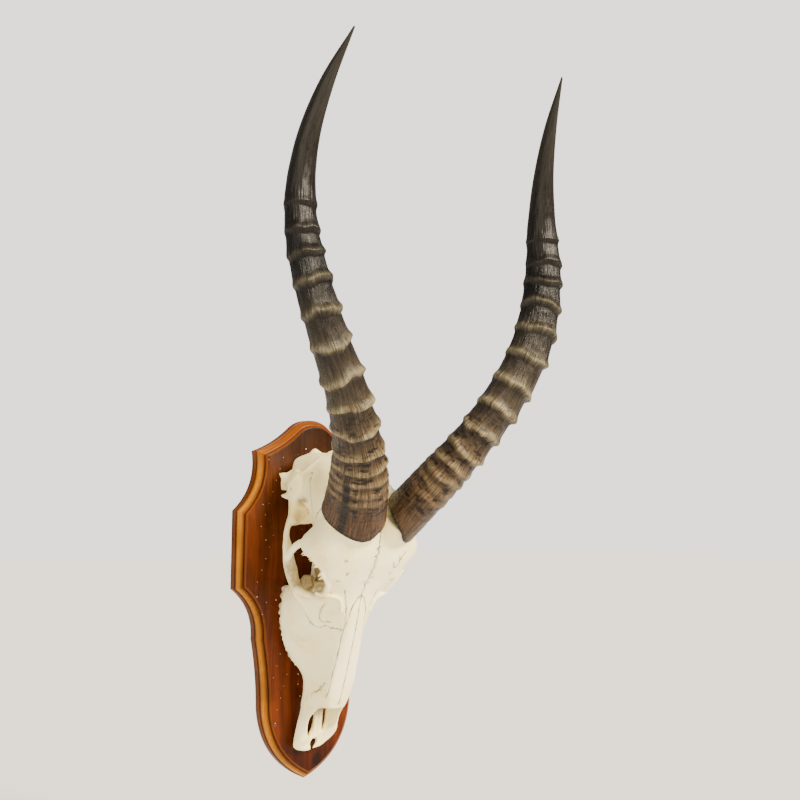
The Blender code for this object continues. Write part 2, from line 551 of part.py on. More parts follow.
def skull_form():
    bm = bmesh.new()
    body(bm, FACE, 3, 3)
    body(bm, CRANIUM, 3, 3)
    body(bm, FOREHEAD, 2, 4)
    for path in (ZYGOMATIC_ARCH, ARCH_ROOT, TEMPLE_FLOOR, POST_EYE_BAR, FRONT_RIM, TEAR_RIDGE, CHEEK_BULGE,
                 EYE_FLOOR, NUCHAL_CREST, MASTOID, MASTOID_PLATE, EAR_SPUR, PAROCCIPITAL, CONDYLE, EAR_BULLA):
        rods(bm, path)
    rods(bm, PTERYGOID, up=Vector((0, 1, 0)))
    rods(bm, PEDICLE, up=HORN_WIDE_AXIS.cross(HORN_START), sides=20)
    return bm


def skull_hollows():
    bm = bmesh.new()
    body(bm, NOSE_HOLLOW, 3, 4)
    for path in (CHOANA, BRAIN_HOLE, LIP_GAP) + PALATE_SLITS:
        rods(bm, path, up=Vector((1, 0, 0)), sides=12, sides_of_head=(1,))
    for path in (TEAR_PIT, EAR_HOLE, NERVE_HOLE):
        rods(bm, path, up=Vector((1, 0, 0)))
    return bm


def add_slit_bones(item):
    """Puts back the two slim bones that the nose's hollow took away between the slits."""
    bm = bmesh.new()
    for path in SLIT_BONES:
        rods(bm, path, up=Vector((1, 0, 0)), sides_of_head=(1,))
    bmesh.ops.scale(bm, vec=(MM, MM, MM), verts=bm.verts)
    bm.from_mesh(item.data)
    bm.to_mesh(item.data)
    bm.free()


def skew_snout(item):
    """Moves the snout's end up on its right side and down on its left."""
    for vert in item.data.vertices:
        share = min(max((-SKEW_FROM - vert.co.z / MM) / SKEW_OVER, 0.0), 1.0)
        vert.co.z += SNOUT_SKEW * share * vert.co.x


def skull(material, sockets):
    item = add_object("skull", finished_mesh(skull_form(), "skull"), material)
    grow_together(item, BONE_VOXEL)
    hollows = add_cutter("skull hollows", skull_hollows())
    grow_together(hollows, HOLLOW_VOXEL)
    bake(hollows)
    subtract(item, hollows)
    bake(item)
    add_slit_bones(item)
    grow_together(item, BONE_VOXEL)
    soften = item.modifiers.new("soften", "SMOOTH")
    soften.factor = 0.5
    soften.iterations = 2
    bake(item)
    skew_snout(item)
    item.data.materials.clear()
    item.data.materials.append(material)
    fewer = item.modifiers.new("fewer faces", "DECIMATE")
    fewer.ratio = BONE_TRIANGLES / (2 * len(item.data.polygons))
    bake(item)
    item.data.shade_smooth()
    for side in (1, -1):
        skin(sockets, horn_rings(side, SEAT_GAP))
    subtract(item, add_cutter("sockets and horn seats", sockets))
    item.modifiers[-1].use_self = True
    return item


def main():
    clear_scene()
    wood = surface("varnished pine", "#7A3C16", 0.35)
    bone = surface("bleached bone", "#EFE9D8", 0.6)
    keratin = surface("horn keratin", "#4A3B2A", 0.45)
    enamel = surface("tooth enamel", "#D9CBA6", 0.4)
    sockets = bmesh.new()
    shield(wood)
    horn("horn_left", -1, keratin)
    horn("horn_right", 1, keratin)
    teeth(enamel, sockets)
    skull(bone, sockets)


main()
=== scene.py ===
"""A blesbok's skull and horns on a varnished pine shield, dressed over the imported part.

Shapes are worked out in millimetres and turned into metres when a mesh is finished. X runs across the shield,
Y into the wall and Z up, and the origin is the middle of the shield's back.
"""
import math

import bmesh
import bpy
import numpy as np
from mathutils import Matrix, Vector, kdtree, noise
from mathutils.bvhtree import BVHTree


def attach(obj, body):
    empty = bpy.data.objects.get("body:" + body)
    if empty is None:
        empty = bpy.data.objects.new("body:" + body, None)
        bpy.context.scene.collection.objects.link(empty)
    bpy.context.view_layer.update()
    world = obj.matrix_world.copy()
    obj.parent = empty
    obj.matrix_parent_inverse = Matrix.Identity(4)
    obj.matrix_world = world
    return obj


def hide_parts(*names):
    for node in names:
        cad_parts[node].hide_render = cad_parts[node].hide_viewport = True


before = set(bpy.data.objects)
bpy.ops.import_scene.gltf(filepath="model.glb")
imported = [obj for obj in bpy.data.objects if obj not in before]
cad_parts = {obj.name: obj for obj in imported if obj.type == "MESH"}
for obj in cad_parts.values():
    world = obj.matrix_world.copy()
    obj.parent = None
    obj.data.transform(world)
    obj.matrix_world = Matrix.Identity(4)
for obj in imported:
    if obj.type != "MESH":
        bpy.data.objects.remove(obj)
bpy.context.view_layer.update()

MM = 0.001

# Shield: its right half's outline from the top to the tip, as (x, z) corners. The number after each corner is
# how far the edge before it bulges outwards, and the last is the number of straight pieces in that edge.
SHIELD_TOP = (0.0, 184.0)
SHIELD_EDGES = (
    ((22.0, 176.0), 2.3, 4),
    ((64.2, 150.5), -2.6, 4),
    ((84.8, 89.2), -8.8, 6),
    ((84.8, 10.0), 0.0, 1),
    ((60.8, -41.0), -7.5, 6),
    ((53.2, -111.0), -1.6, 3),
    ((0.0, -185.5), 13.4, 8),
)
SHIELD_THICK = 19.8
# Each edge is drawn past both its corners, so that edges cross after they have moved in: from and to in
# shares of the edge, the number of points on it, and which of these are its two corners.
EDGE_SPAN = (-0.35, 1.35)
EDGE_POINTS = 171
EDGE_START, EDGE_END = 35, 135
# Routed edge, as (how far in from the outline, how far off the wall): a square edge, a small step, a round, a
# narrow quirk and the lip of the field.
PROFILE = (
    (0.0, 8.5), (0.15, 8.75), (0.75, 8.9), (0.9, 9.1), (0.95, 10.0), (1.2, 11.2), (1.6, 12.3), (2.2, 13.4),
    (2.95, 14.4), (3.8, 15.2), (4.7, 15.75), (5.5, 16.0), (5.9, 15.95), (6.1, 15.9), (6.15, 16.4),
    (6.2, 17.2), (6.35, 17.9), (6.65, 18.5), (7.1, 19.1), (7.6, 19.55), (8.0, 19.75), (8.3, 19.8),
)

# Horn, the right one: (x, y, z) of its middle line, with half its width across and half its width from side
# to side. The first row lies inside the skull and only sets the way in which the horn leaves it.
HORN_PATH = (
    (21.0, -110.5, 60.5, 36.5, 24.5),
    (28.5, -142.0, 87.5, 32.5, 23.0),
    (45.5, -178.0, 125.0, 28.5, 22.0),
    (66.5, -205.0, 162.5, 24.5, 21.5),
    (89.0, -222.5, 201.5, 21.5, 22.0),
    (110.5, -230.0, 242.5, 19.0, 22.0),
    (126.5, -229.0, 286.0, 17.5, 21.0),
    (135.5, -223.5, 330.5, 15.5, 18.5),
    (136.5, -220.0, 375.5, 12.5, 14.0),
    (133.0, -226.5, 420.5, 10.0, 10.0),
    (126.0, -244.5, 464.5, 6.5, 6.0),
    (116.5, -272.0, 507.0, 0.8, 0.8),
)
HORN_WIDE_AXIS = Vector((-0.48, -0.877, 0.0))
HORN_START = Vector((0.25, -0.7, 0.67))
# Rings of the horn: how far along it each crest is, and how far it stands out.
HORN_RINGS = (
    (40.0, 0.8), (51.0, 1.2), (62.0, 1.7), (75.0, 2.4), (92.0, 3.2), (115.0, 3.5), (141.0, 3.7),
    (167.0, 3.7), (197.0, 3.6), (226.0, 3.3), (253.0, 2.9), (277.0, 2.4), (298.0, 1.9), (321.0, 0.9),
)
# A ring rises quickly below its crest, falls away slowly above it and stands out most at the horn's front.
RING_BELOW = 2.9
RING_ABOVE = 4.4
RING_FRONT = math.radians(30.0)
# The lower rim: how far it lies up the horn from the end of the middle line, by the angle round the horn. It
# levels out over RIM_FADE.
RIM_ANGLES = (0, 20, 37, 54, 70, 90, 110, 130, 160, 200, 240, 290, 330)
RIM_LEFT = (4.5, 0.0, -7.0, -9.5, -8.0, -5.4, -3.2, -1.6, 0.0, 2.0, 5.0, 7.5, 7.3)
RIM_RIGHT = (4.5, -0.4, -7.2, -11.0, -11.2, -10.0, -7.0, -3.6, 0.0, 2.0, 5.0, 7.5, 7.3)
RIM_FADE = 14.0
# Heights on the horn over which the ripples near its base and all its roughness fade out.
RIPPLE_FADE = (60, 130)
ROUGH_FADE = (310, 390)
HORN_SIDES = 144
HORN_STEP = 1.1
# Points on a horn carry their place on a straight cylinder of this radius, for the patterns of its material.
UNROLLED_RADIUS = 20.0
# Fineness of the bone's mesh, and how far from a seam it is made finer, once for each reach.
BONE_VOXEL = 1.0
BONE_TRIANGLES = 132000
SEAM_REACHES = (2.6, 1.3)
# A seam's groove and its raised lips: half widths, and how far from the groove's middle the lips are.
GROOVE_WIDTH = 0.55
LIP_WIDTH = 0.7
LIP_PLACE = 1.3
FIT_GAP = 0.3
TOOTH_SIDES = 48
PLUG_SIDES = 24

CAMERA_PLACE = (-0.6870, -1.1945, 0.1154)
CAMERA_TURNS = (34.02, 3.84, 0.81)
CAMERA_LENS = 58.5
CAMERA_FILM = 36.0
FLOOR_Z = -0.32
FLOOR_SIZE = 6.0
# Suns: name, the way each shines, how wide it is in degrees, its strength and its colour.
SUNS = (
    ("key", (-0.9, 1.9, -1.3), 26.0, 11.0, "#FFEFD6"),
    ("fill", (1.6, 1.4, -0.7), 60.0, 2.6, "#FFF4E2"),
)
ROOM_LIGHT = 0.4
BACKGROUND_LIGHT = 2.05

# Snout and cheeks: z, then half of the outline from the nose ridge round to the middle of the palate, (x, y).
FACE = (
    (-152.5, ((0, -27.5), (2, -28), (4, -28), (6, -27.8), (7.5, -27.2),
              (7.5, -26.6), (6, -26.2), (3, -26), (0, -26))),
    (-150.5, ((0, -28.5), (4, -29), (8, -29.5), (11, -29.2),
              (12.5, -28), (12.5, -26.8), (10, -26), (5, -26), (0, -26))),
    (-147, ((0, -29.5), (6, -30), (12, -31), (17, -31), (19.5, -29.2),
            (20, -27.5), (17, -26), (8, -26), (0, -26))),
    (-142, ((0, -30.5), (6, -31.5), (12, -33.5), (19, -34.5),
            (23.5, -32), (24.8, -29), (21, -26.5), (9, -26), (0, -26))),
    (-136, ((0, -31.5), (6, -33), (11, -37), (17, -39.5), (22, -37),
            (25, -30.5), (22, -27.5), (9, -27), (0, -27))),
    (-128, ((0, -33), (6, -35), (12, -41), (17, -43.5), (20.5, -40),
            (23, -32), (20.5, -28.5), (9, -28), (0, -28))),
    (-119, ((0, -36), (6, -38), (13, -45.5), (17.5, -47), (19.5, -43),
            (21, -34), (18.5, -29.5), (9, -29), (0, -29))),
    (-111, ((0, -40), (6, -44), (13, -54), (17, -54.5), (18.5, -48),
            (19.5, -37), (18, -31), (9, -30.5), (0, -31))),
    (-107.5, ((0, -41.5), (6, -46), (12, -58), (17, -57), (18.7, -49),
              (19.5, -38), (18, -31.5), (9, -31.5), (0, -32))),
    (-105.5, ((0, -71.5), (8, -70), (12, -65), (16, -57.5), (18.6, -47.5),
              (19.5, -38), (18, -31.8), (9, -32), (0, -32.5))),
    (-103.5, ((0, -73.8), (8, -72.3), (12.2, -67.5), (16.2, -58),
              (18.6, -47), (19.6, -38), (18, -32), (9, -32.5), (0, -33))),
    (-90, ((0, -80), (8, -79), (13.5, -76), (17, -64), (19.5, -50),
           (20.5, -41.5), (17, -34.5), (10, -35), (0, -37))),
    (-75, ((0, -86.5), (8, -85.5), (13.5, -82.5), (17, -69),
           (20.5, -53), (22, -42), (18.5, -34), (11, -36), (0, -39))),
    (-60, ((0, -92), (8, -91), (13.5, -87), (19, -72),
           (25, -54), (30, -37), (27, -28), (14, -36), (0, -40))),
    (-45, ((0, -97.5), (7, -96.5), (13, -92), (21, -76), (30, -56),
           (36.5, -38), (36, -27.5), (20, -38), (0, -42))),
    (-25, ((0, -104.5), (7, -103.5), (13, -98), (24, -82),
           (35, -62), (41, -42), (40.5, -27.5), (23, -40), (0, -44))),
    (-10, ((0, -109), (8, -107.5), (16, -101), (28, -87),
           (37, -70), (42, -46), (41, -27.5), (24, -41), (0, -46))),
    (4, ((0, -112.5), (11, -111), (22, -105.5), (33, -90),
         (42, -72), (42, -50), (39, -27.5), (24, -43), (0, -48))),
    (14, ((0, -117), (14, -115.5), (26, -109), (32, -97),
          (38, -82), (40, -60), (35, -29), (24, -44), (0, -51))),
    (21, ((0, -120.5), (15, -119), (25, -112), (28, -101),
          (28, -86), (30, -66), (28, -42), (20, -48), (0, -53))),
)
# Braincase and the narrow walls between the eyes.
CRANIUM = (
    (12, ((0, -114), (14, -112), (22, -106), (22, -92), (19, -78), (19, -64), (12, -52), (0, -50))),
    (24, ((0, -122), (14, -121), (24, -113), (23, -96), (20, -80), (22, -65), (13, -52), (0, -50))),
    (36, ((0, -132), (18, -130), (30, -121), (26, -102), (23, -83), (26, -66), (15, -53), (0, -51))),
    (50, ((0, -141), (25, -138), (36, -126), (31, -106), (26, -86), (27.5, -67), (16, -53), (0, -50))),
    (65, ((0, -146), (28, -145), (44, -128), (38, -106), (30, -85), (25, -65), (14, -50), (0, -46))),
    (80, ((0, -149), (30, -147), (47, -130), (42, -108), (35, -84), (26, -60), (15, -46), (0, -41))),
    (95, ((0, -147), (28, -144), (43, -128), (41, -108), (38, -84), (32, -58), (18, -42), (0, -37))),
    (112, ((0, -138), (24, -132), (36, -114), (38, -94), (38, -74), (38, -54), (28, -38), (0, -34))),
    (128, ((0, -119), (20, -113), (31, -96), (35, -79), (38, -64), (39.5, -46), (30, -35), (0, -32))),
    (138, ((0, -102), (17, -96), (27, -82), (32, -68), (35, -53), (36.5, -39), (27, -33), (0, -32))),
    (144, ((0, -88), (13, -84), (23, -74), (28, -62), (31, -50), (31.5, -39), (22, -34), (0, -33))),
    (149, ((0, -76), (9, -73), (16, -66), (20, -59), (22, -50), (20, -42), (13, -37), (0, -36))),
)
# Forehead, a shelf that reaches out over each eye: its outline turns at the rim and comes back underneath.
FOREHEAD = (
    (12, ((0, -116), (14, -114.5), (25, -108.5), (31, -100), (34, -95),
          (34, -91), (31, -90), (28, -93), (14, -107), (0, -109))),
    (24, ((0, -123.5), (16, -123), (27, -121), (34, -119), (38, -117),
          (39.5, -114), (37.5, -111), (28, -113), (16, -116), (0, -117))),
    (36, ((0, -133), (18, -132), (34, -128.5), (42, -124), (46, -119),
          (47.5, -113), (45, -111), (36, -118), (18, -124), (0, -125))),
    (45, ((0, -139), (18, -138), (36, -134), (48.5, -127.5), (54, -119),
          (54.5, -108.5), (51, -107.5), (45, -118), (24, -128), (0, -130))),
    (52, ((0, -142.5), (18, -141.5), (38, -137), (52, -130), (58, -120),
          (59, -102), (54.5, -101), (51, -113), (24, -130), (0, -133))),
    (59, ((0, -144.5), (18, -144), (39, -139.5), (53, -131), (59.5, -119),
          (58.5, -95), (53, -95), (50, -113), (24, -131), (0, -134))),
    (67, ((0, -146.5), (18, -147), (38, -142.5), (51, -132), (57, -119),
          (57, -98), (52, -98), (46, -116), (24, -131), (0, -135))),
    (76, ((0, -148), (18, -149), (34, -145), (46, -134), (51, -121),
          (49.5, -102), (44, -102), (39, -120), (20, -133), (0, -136))),
    (85, ((0, -148), (18, -148), (32, -145), (42, -134), (46, -122),
          (44, -108), (40, -108), (36, -122), (20, -133), (0, -136))),
)
# Paired rods of bone: (x, y, z) of the middle line, then half the rod's size square to ROD_UP and along it.
ROD_UP = Vector((1.0, -0.2, 0.0))
ACROSS = Vector((1, 0, 0))
ZYGOMATIC_ARCH = (
    (25, -78, -26, 1.2, 1.2), (30, -75.5, -17, 2.0, 2.0), (35, -71.5, -9, 2.6, 3.0),
    (41, -70.5, 2, 3.4, 4.0), (46, -69, 12, 3.6, 6.4), (49, -66.5, 22, 3.4, 7.4),
    (50.5, -63.5, 32, 3.2, 8.4), (52, -61.3, 42, 3.0, 7.6), (53, -59.5, 56, 3.0, 5.5),
    (53.3, -57.4, 66, 3.1, 3.2), (51.5, -57.5, 76, 3.4, 3.0), (46, -58, 86, 6.0, 4.0),
    (40, -58, 96, 7.0, 6.0), (34, -58, 106, 7.0, 6.0),
)
ARCH_ROOT = (
    (44, -62, 77.5, 4.0, 6.0), (45, -58, 84, 6.0, 6.0), (41, -55.5, 92, 9.0, 8.0), (38, -54, 101, 12.0, 9.0),
    (38.5, -52.5, 110, 14.0, 8.0), (38, -53, 119, 14.0, 8.0), (34, -55, 127, 12.0, 8.0),
)
TEMPLE_FLOOR = ((33, -57, 79, 9.0, 10.0), (34, -59, 90, 13.0, 9.0), (35, -62, 102, 16.0, 9.0))
POST_EYE_BAR = (
    (56, -108, 58, 6.0, 3.0), (57, -96, 60, 4.6, 2.6),
    (56.8, -85, 57.5, 4.0, 2.5), (56, -74, 52, 4.0, 2.8), (54, -64, 46, 5.0, 3.4),
)
FRONT_RIM = (
    (47, -116, 33, 1.6, 1.8), (38, -113, 21.5, 2.2, 2.2), (34.5, -105, 13.5, 2.4, 2.8),
    (34.5, -96, 10, 2.8, 3.6), (38, -88, 8.5, 3.2, 4.6), (44, -80, 10.5, 3.6, 4.8), (50, -72, 16, 3.6, 5.0),
)
TEAR_RIDGE = (
    (42, -96, 12, 2.0, 2.0), (37, -101, 10, 1.8, 1.8), (30, -105.5, 9, 1.8, 1.8),
    (23, -108, 7, 1.8, 1.8), (19, -107.5, 2, 1.6, 1.6), (17, -104, -8, 1.4, 1.4),
)
CHEEK_BULGE = (
    (21, -71, -43, 1.0, 1.0), (29, -59, -42, 2.8, 2.6), (33.5, -50, -38, 3.4, 3.0), (37, -43, -29, 3.0, 3.0),
)
EYE_FLOOR = (
    (33, -60, 4, 16.0, 9.0), (32, -62, 14, 14.0, 8.5), (31, -63, 21.5, 9.5, 6.5), (31, -63, 27, 5.5, 4.5),
)
NUCHAL_CREST = (
    (0, -77, 145, 2.0, 2.0), (12, -70, 146.5, 2.0, 2.0), (22, -67, 142.5, 2.0, 2.0),
    (29.5, -63, 134, 2.0, 2.0), (35, -57, 130, 2.0, 2.0),
    (39.5, -52, 125, 2.0, 2.0), (42, -48, 117, 2.2, 2.0), (42, -50, 108, 2.4, 2.4),
)
MASTOID = (
    (30, -50, 128, 9.0, 5.0), (38, -41, 124, 8.5, 3.2), (42, -35.5, 124, 6.0, 2.0),
    (45, -31.5, 126, 3.6, 1.5), (47, -28.5, 128, 0.9, 0.8),
)
MASTOID_PLATE = (
    (36, -44, 119, 8.0, 3.2), (41, -37, 118, 8.0, 2.2),
    (44, -32.5, 117.5, 7.6, 1.5), (45.5, -30, 117.5, 7.0, 0.9),
)
EAR_SPUR = (
    (39, -50, 108, 6.0, 4.0), (43, -43, 105.5, 4.4, 2.6),
    (45.5, -37.5, 105, 2.8, 1.6), (47, -34, 106, 1.4, 1.0),
)
PAROCCIPITAL = ((27, -42, 136, 5.0, 4.0), (29, -33, 134, 3.6, 2.8), (29, -26, 131, 1.6, 1.4))
CONDYLE = ((5, -38, 147, 4.0, 4.0), (12, -40, 148, 6.0, 5.0), (16, -46, 146, 4.0, 4.0))
EAR_BULLA = ((18, -38, 118, 6.0, 5.0), (20, -32, 112, 7.0, 6.0), (19, -29, 104, 3.0, 3.0))
PTERYGOID = (
    (17, -50, 14, 3.0, 8.0), (12, -45, 26, 1.8, 8.5), (10, -43, 40, 1.6, 8.0),
    (11, -41, 52, 1.4, 5.0), (12, -38, 58, 0.9, 2.0),
)
PEDICLE = ((20, -117, 64, 24.0, 18.0), (24, -130, 76, 26.5, 19.5), (28.3, -142.1, 87.5, 29.0, 20.5))

# Hollows, taken out of the bone.
NOSE_HOLLOW = (
    (-139, ((0, -60), (3, -60), (5, -50), (5.5, -40), (4.5, -33), (2.5, -31.5), (0, -31.5))),
    (-133, ((0, -60), (8, -60), (13.5, -46), (14, -38), (12, -32.5), (6, -31), (0, -31))),
    (-125, ((0, -62), (11, -62), (16.3, -48), (16.3, -40), (13.5, -33), (6, -31), (0, -31))),
    (-115, ((0, -68), (11, -68), (15.8, -54), (16, -42), (13, -34), (6, -32), (0, -32))),
    (-108, ((0, -71), (9, -71), (13.5, -62), (15.5, -48), (13.5, -36.5), (6, -35), (0, -35))),
    (-102, ((0, -70), (6, -69), (11, -62.5), (14.5, -52), (15, -44), (8, -37.5), (0, -37.5))),
    (-88, ((0, -77), (6, -76), (11, -70), (15, -57), (17, -45), (10, -40), (0, -41.5))),
    (-60, ((0, -88), (6, -87), (11, -80), (17, -64), (19, -50), (11, -43), (0, -45))),
    (-30, ((0, -97), (6, -96), (12, -87), (20, -70), (23, -57), (12, -47), (0, -48))),
    (-2, ((0, -98), (5, -97), (10, -90), (14, -77), (14.5, -65), (9, -54), (0, -53))),
)
# The right slit is narrower and nearer to the middle than the left one.
PALATE_SLITS = (
    ((-6.3, -31, -104, 7.0, 0.8), (-6.5, -31, -110, 7.0, 2.8), (-6.6, -30, -120, 6.0, 4.0),
     (-7, -30, -129, 6.0, 3.6), (-8.2, -29.5, -134, 6.0, 2.0), (-8.8, -29, -137.5, 6.0, 0.8)),
    ((8, -34, -99, 8.0, 1.2), (8.3, -33, -106, 8.0, 2.2), (8.6, -31, -116, 7.0, 2.6),
     (8.4, -30, -126, 6.0, 2.4), (7.6, -29.5, -136, 6.0, 0.8)),
)
LIP_GAP = (
    (-0.3, -28, -138.5, 7.0, 0.6), (-1.5, -28, -143, 7.0, 3.8),
    (-1.8, -28, -146.5, 7.0, 4.0), (-2.4, -28, -150, 7.0, 1.7), (-2.4, -28, -157, 7.0, 1.3),
)
# The two slim bones between the slits.
SLIT_BONES = (
    ((-1.6, -31, -141, 1.5, 1.5), (-1.6, -31.5, -128, 1.7, 1.7),
     (-1.4, -33.5, -116, 1.8, 1.7), (-1.2, -38, -104, 1.8, 1.6), (-1.2, -43, -94, 1.8, 1.6)),
    ((3.6, -31, -139, 1.6, 3.0), (3.6, -32, -128, 2.0, 3.0),
     (3.4, -34, -116, 2.2, 2.8), (3, -38.5, -104, 2.2, 2.2), (2.5, -43, -94, 2.0, 1.8)),
)
# The snout's end is skewed: below SKEW_FROM it moves up by this much for each step to the right, growing from
# nothing over a length of SKEW_OVER.
SNOUT_SKEW = 0.25
SKEW_FROM = 122.0
SKEW_OVER = 16.0
CHOANA = ((0, -44, 4, 5.0, 7.0), (0, -42, 20, 9.0, 8.0), (0, -38, 40, 10.0, 7.5), (0, -32, 60, 9.0, 7.0))
BRAIN_HOLE = (
    (0, -48, 158, 8.5, 10.5), (0, -50, 149, 8.5, 10.5), (0, -56, 140, 10.0, 12.0),
    (0, -66, 128, 16.0, 18.0), (0, -74, 112, 16.0, 16.0), (0, -78, 102, 6.0, 6.0),
)
TEAR_PIT = (
    (24.5, -107.5, -22, 2.0, 2.0), (29, -105, -12, 8.0, 5.4),
    (31.5, -102.5, -4, 7.5, 5.8), (32, -101, 3.5, 3.6, 3.6),
)
EAR_HOLE = ((52, -50, 112, 2.6, 2.6), (36, -52, 114, 2.4, 2.4), (30, -54, 115, 1.2, 1.2))
NERVE_HOLE = ((30, -88, 56, 4.0, 4.0), (18, -84, 62, 3.4, 3.4), (8, -82, 66, 2.0, 2.0))

# Cheek teeth: a row that bows outwards, from the first premolar to the last molar.
TOOTH_LENGTHS = (8.4, 10.0, 11.0, 14.4, 16.0, 16.4)
TOOTH_WIDTHS = (7.5, 9.0, 10.5, 12.5, 13.5, 13.0)
TOOTH_LOBES = (1, 1, 1, 2, 2, 2)
TOOTH_NAMES = ("premolar_2", "premolar_3", "premolar_4", "molar_1", "molar_2", "molar_3")
TOOTH_ROW_BOW = ((23.0, -61.5), (28.0, -45.0), (33.0, -25.0), (33.5, -5.0), (30.0, 15.0))
TOOTH_ROOT_Y = -40.0
TOOTH_TIP_Y = -20.1
TOOTH_SECTIONS = (
    (TOOTH_ROOT_Y, 0.9), (-33.0, 0.95), (-26.0, 0.99),
    (TOOTH_TIP_Y - 2.0, 1.0), (TOOTH_TIP_Y - 0.6, 0.985), (TOOTH_TIP_Y, 0.94),
)

# Seams between the bones: how much they waver, the sides they are on, and points (x, y, z) near the surface.
SEAMS = (
    (0.5, (1, -1), ((11.5, -100, -25), (12, -97, -32), (12.5, -92.5, -47),
                    (13, -86.5, -63), (13.5, -82, -75), (13.5, -78, -86), (14, -72, -95))),
    (0.7, (1, -1), ((11.5, -100, -25), (10.3, -103, -18.5), (9, -106.5, -10.5),
                    (8, -109.5, -3), (5.5, -112, 3), (3, -113.5, 7), (0, -114.5, 9))),
    (0.7, (1, -1), ((19.5, -115, 15.5), (16, -110, 5), (13.5, -108, -2),
                    (12, -104, -13), (11.3, -101, -22), (11.5, -100, -25))),
    (0.5, (1, -1), ((29, -93.5, 0.5), (29.5, -89, -3.5), (30, -86, -8), (28.5, -83, -14),
                    (26, -84, -18), (23.5, -87.5, -17.5), (21, -91, -17.5))),
    (0.9, (1, -1), ((37.5, -70, -10), (35, -71.5, -14.5), (32, -72.5, -19.5),
                    (29, -75.5, -22.5), (25.5, -81, -23), (23, -86, -21.5),
                    (19.5, -90, -23.5), (15.5, -95, -24), (11.5, -100, -25))),
    (0.4, (1, -1), ((21, -43, -98), (20, -52.5, -92.5), (17.5, -64, -87.5), (15.5, -74.5, -79))),
    (0.2, (1,), ((0, -75, -102), (0, -86, -76), (0, -96.5, -47), (0, -108, -13), (0, -114, 8))),
    (1.2, (1,), ((0, -114, 8), (0, -123, 23), (0, -133, 36), (0, -141, 49),
                 (0, -145, 62), (0, -149, 78), (0, -148, 92), (0, -140, 108))),
    (1.5, (1, -1), ((0, -139, 109), (12, -137, 107), (24, -131, 104),
                    (36, -118, 100), (41, -100, 92), (37, -84, 84))),
    (1.2, (1, -1), ((36, -80, 88), (39, -78, 102), (40, -76, 118), (37, -76, 130))),
    (0.5, (1,), ((35.5, -138.5, 53), (34, -137, 49.5), (31, -135, 44.5),
                 (31, -133, 41.5), (29, -131, 37.5), (27, -130.5, 36.5))),
    (0.5, (1,), ((31, -135, 44.5), (28, -137.5, 47.5))),
    (0.5, (1,), ((27, -130.5, 36.5), (22, -136, 42.5))),
    (0.9, (1, -1), ((38.5, -77, 14), (35, -80, 16.5), (31.5, -74, 21), (29, -66, 26))),
    (0.4, (1, -1), ((42.5, -64, 100), (40, -69, 95), (38, -73, 88), (37.5, -75, 81))),
)
# Places on the bone as (x, y, z, radius, strength), the same on both sides: pits, stains and painted shade,
# yellower bone, the frayed rim of the tooth sockets, porous bone and the eye sockets' upper edge, where the
# mesh is finer.
DENTS = (
    (31.6, -134.8, 44.2, 2.2, 1.3), (24.3, -127, 30.7, 2.0, 1.2), (32, -120, 24, 2.2, 1.0),
    (42.5, -65, 89.5, 11.0, 2.6), (33, -74, -30, 2.2, 1.4), (26, -60, -62, 1.8, 1.2),
    (13, -141, 66, 1.6, 0.6), (9, -134, 48, 1.5, 0.5), (33, -58, -30, 13.0, 1.3), (25, -62, -52, 14.0, 0.9),
    (39, -44, -16, 10.0, 0.8), (20, -62, -76, 10.0, 0.7), (0.5, -75.5, -103, 3.0, 1.4),
)
# Tan marks: most are painted shade in the eye sockets, the temples, the nose, the pits and round the teeth; a
# few broad ones are stains.
STAINS_AND_SHADE = (
    (42.5, -65, 84, 13.0, 0.3), (53, -67.5, 30.5, 17.0, 0.6), (47, -70, 21, 14.0, 0.6),
    (40, -82, 40, 24.0, 0.55), (30, -78, 24, 16.0, 0.6), (0, -60, -104, 17.0, 0.9),
    (0, -42, -112, 14.0, 0.8), (8, -40, -124, 9.0, 0.5), (34, -30, -30, 9.0, 0.4), (36, -28, -5, 9.0, 0.45),
    (30, -30, -52, 8.0, 0.4), (42, -66, 100, 8.0, 0.6), (28, -143, 85, 30.0, 0.16),
    (31.6, -134.8, 44.2, 2.4, 0.9), (24.3, -127, 30.7, 2.2, 0.8), (32, -120, 24, 2.4, 0.8),
    (26, -72, 36, 20.0, 0.95), (24, -85, 40, 16.0, 0.85), (32, -66, 26, 20.0, 0.9),
    (20, -80, 130, 50.0, 0.14), (46, -58, 72, 26.0, 0.22), (42, -36, 112, 14.0, 0.45),
    (17, -36, 112, 16.0, 0.5), (0, -52, 146, 14.0, 0.6), (12, -50, 20, 22.0, 0.5),
    (35, -90, 14.5, 13.0, 0.75), (38, -78, 14, 12.0, 0.8), (33, -98, 14, 9.0, 0.5),
)
YELLOWED = (
    (43, -64, 90, 18.0, 1.0), (48, -62, 78, 16.0, 0.5), (30, -72, 118, 40.0, 0.3), (36, -72, 26, 30.0, 0.55),
    (46, -60, 60, 26.0, 0.35), (40, -40, 125, 24.0, 0.35), (0, -60, -108, 20.0, 0.4),
)
FRAYED = (
    (26, -33, -62, 8.0, 0.7), (31, -29, -52, 10.0, 0.9), (37, -28, -35, 11.0, 0.9),
    (41, -28, -18, 11.0, 0.9), (41, -28, -2, 11.0, 0.8), (38, -29, 8, 8.0, 0.6),
)
POROUS = (
    (34, -128, 92, 24.0, 0.8), (10, -146, 78, 16.0, 0.5), (50, -130, 58, 14.0, 0.8),
    (30, -45, -12, 18.0, 0.8), (17, -40, -138, 14.0, 0.6),
    (34, -80, 128, 20.0, 0.5), (33, -78, 20, 18.0, 1.0),
)
EYE_RIM = ((58, -108, 51, 7.0, 1.0), (53, -117, 43, 8.0, 1.0), (46, -115.5, 34, 8.0, 1.0))
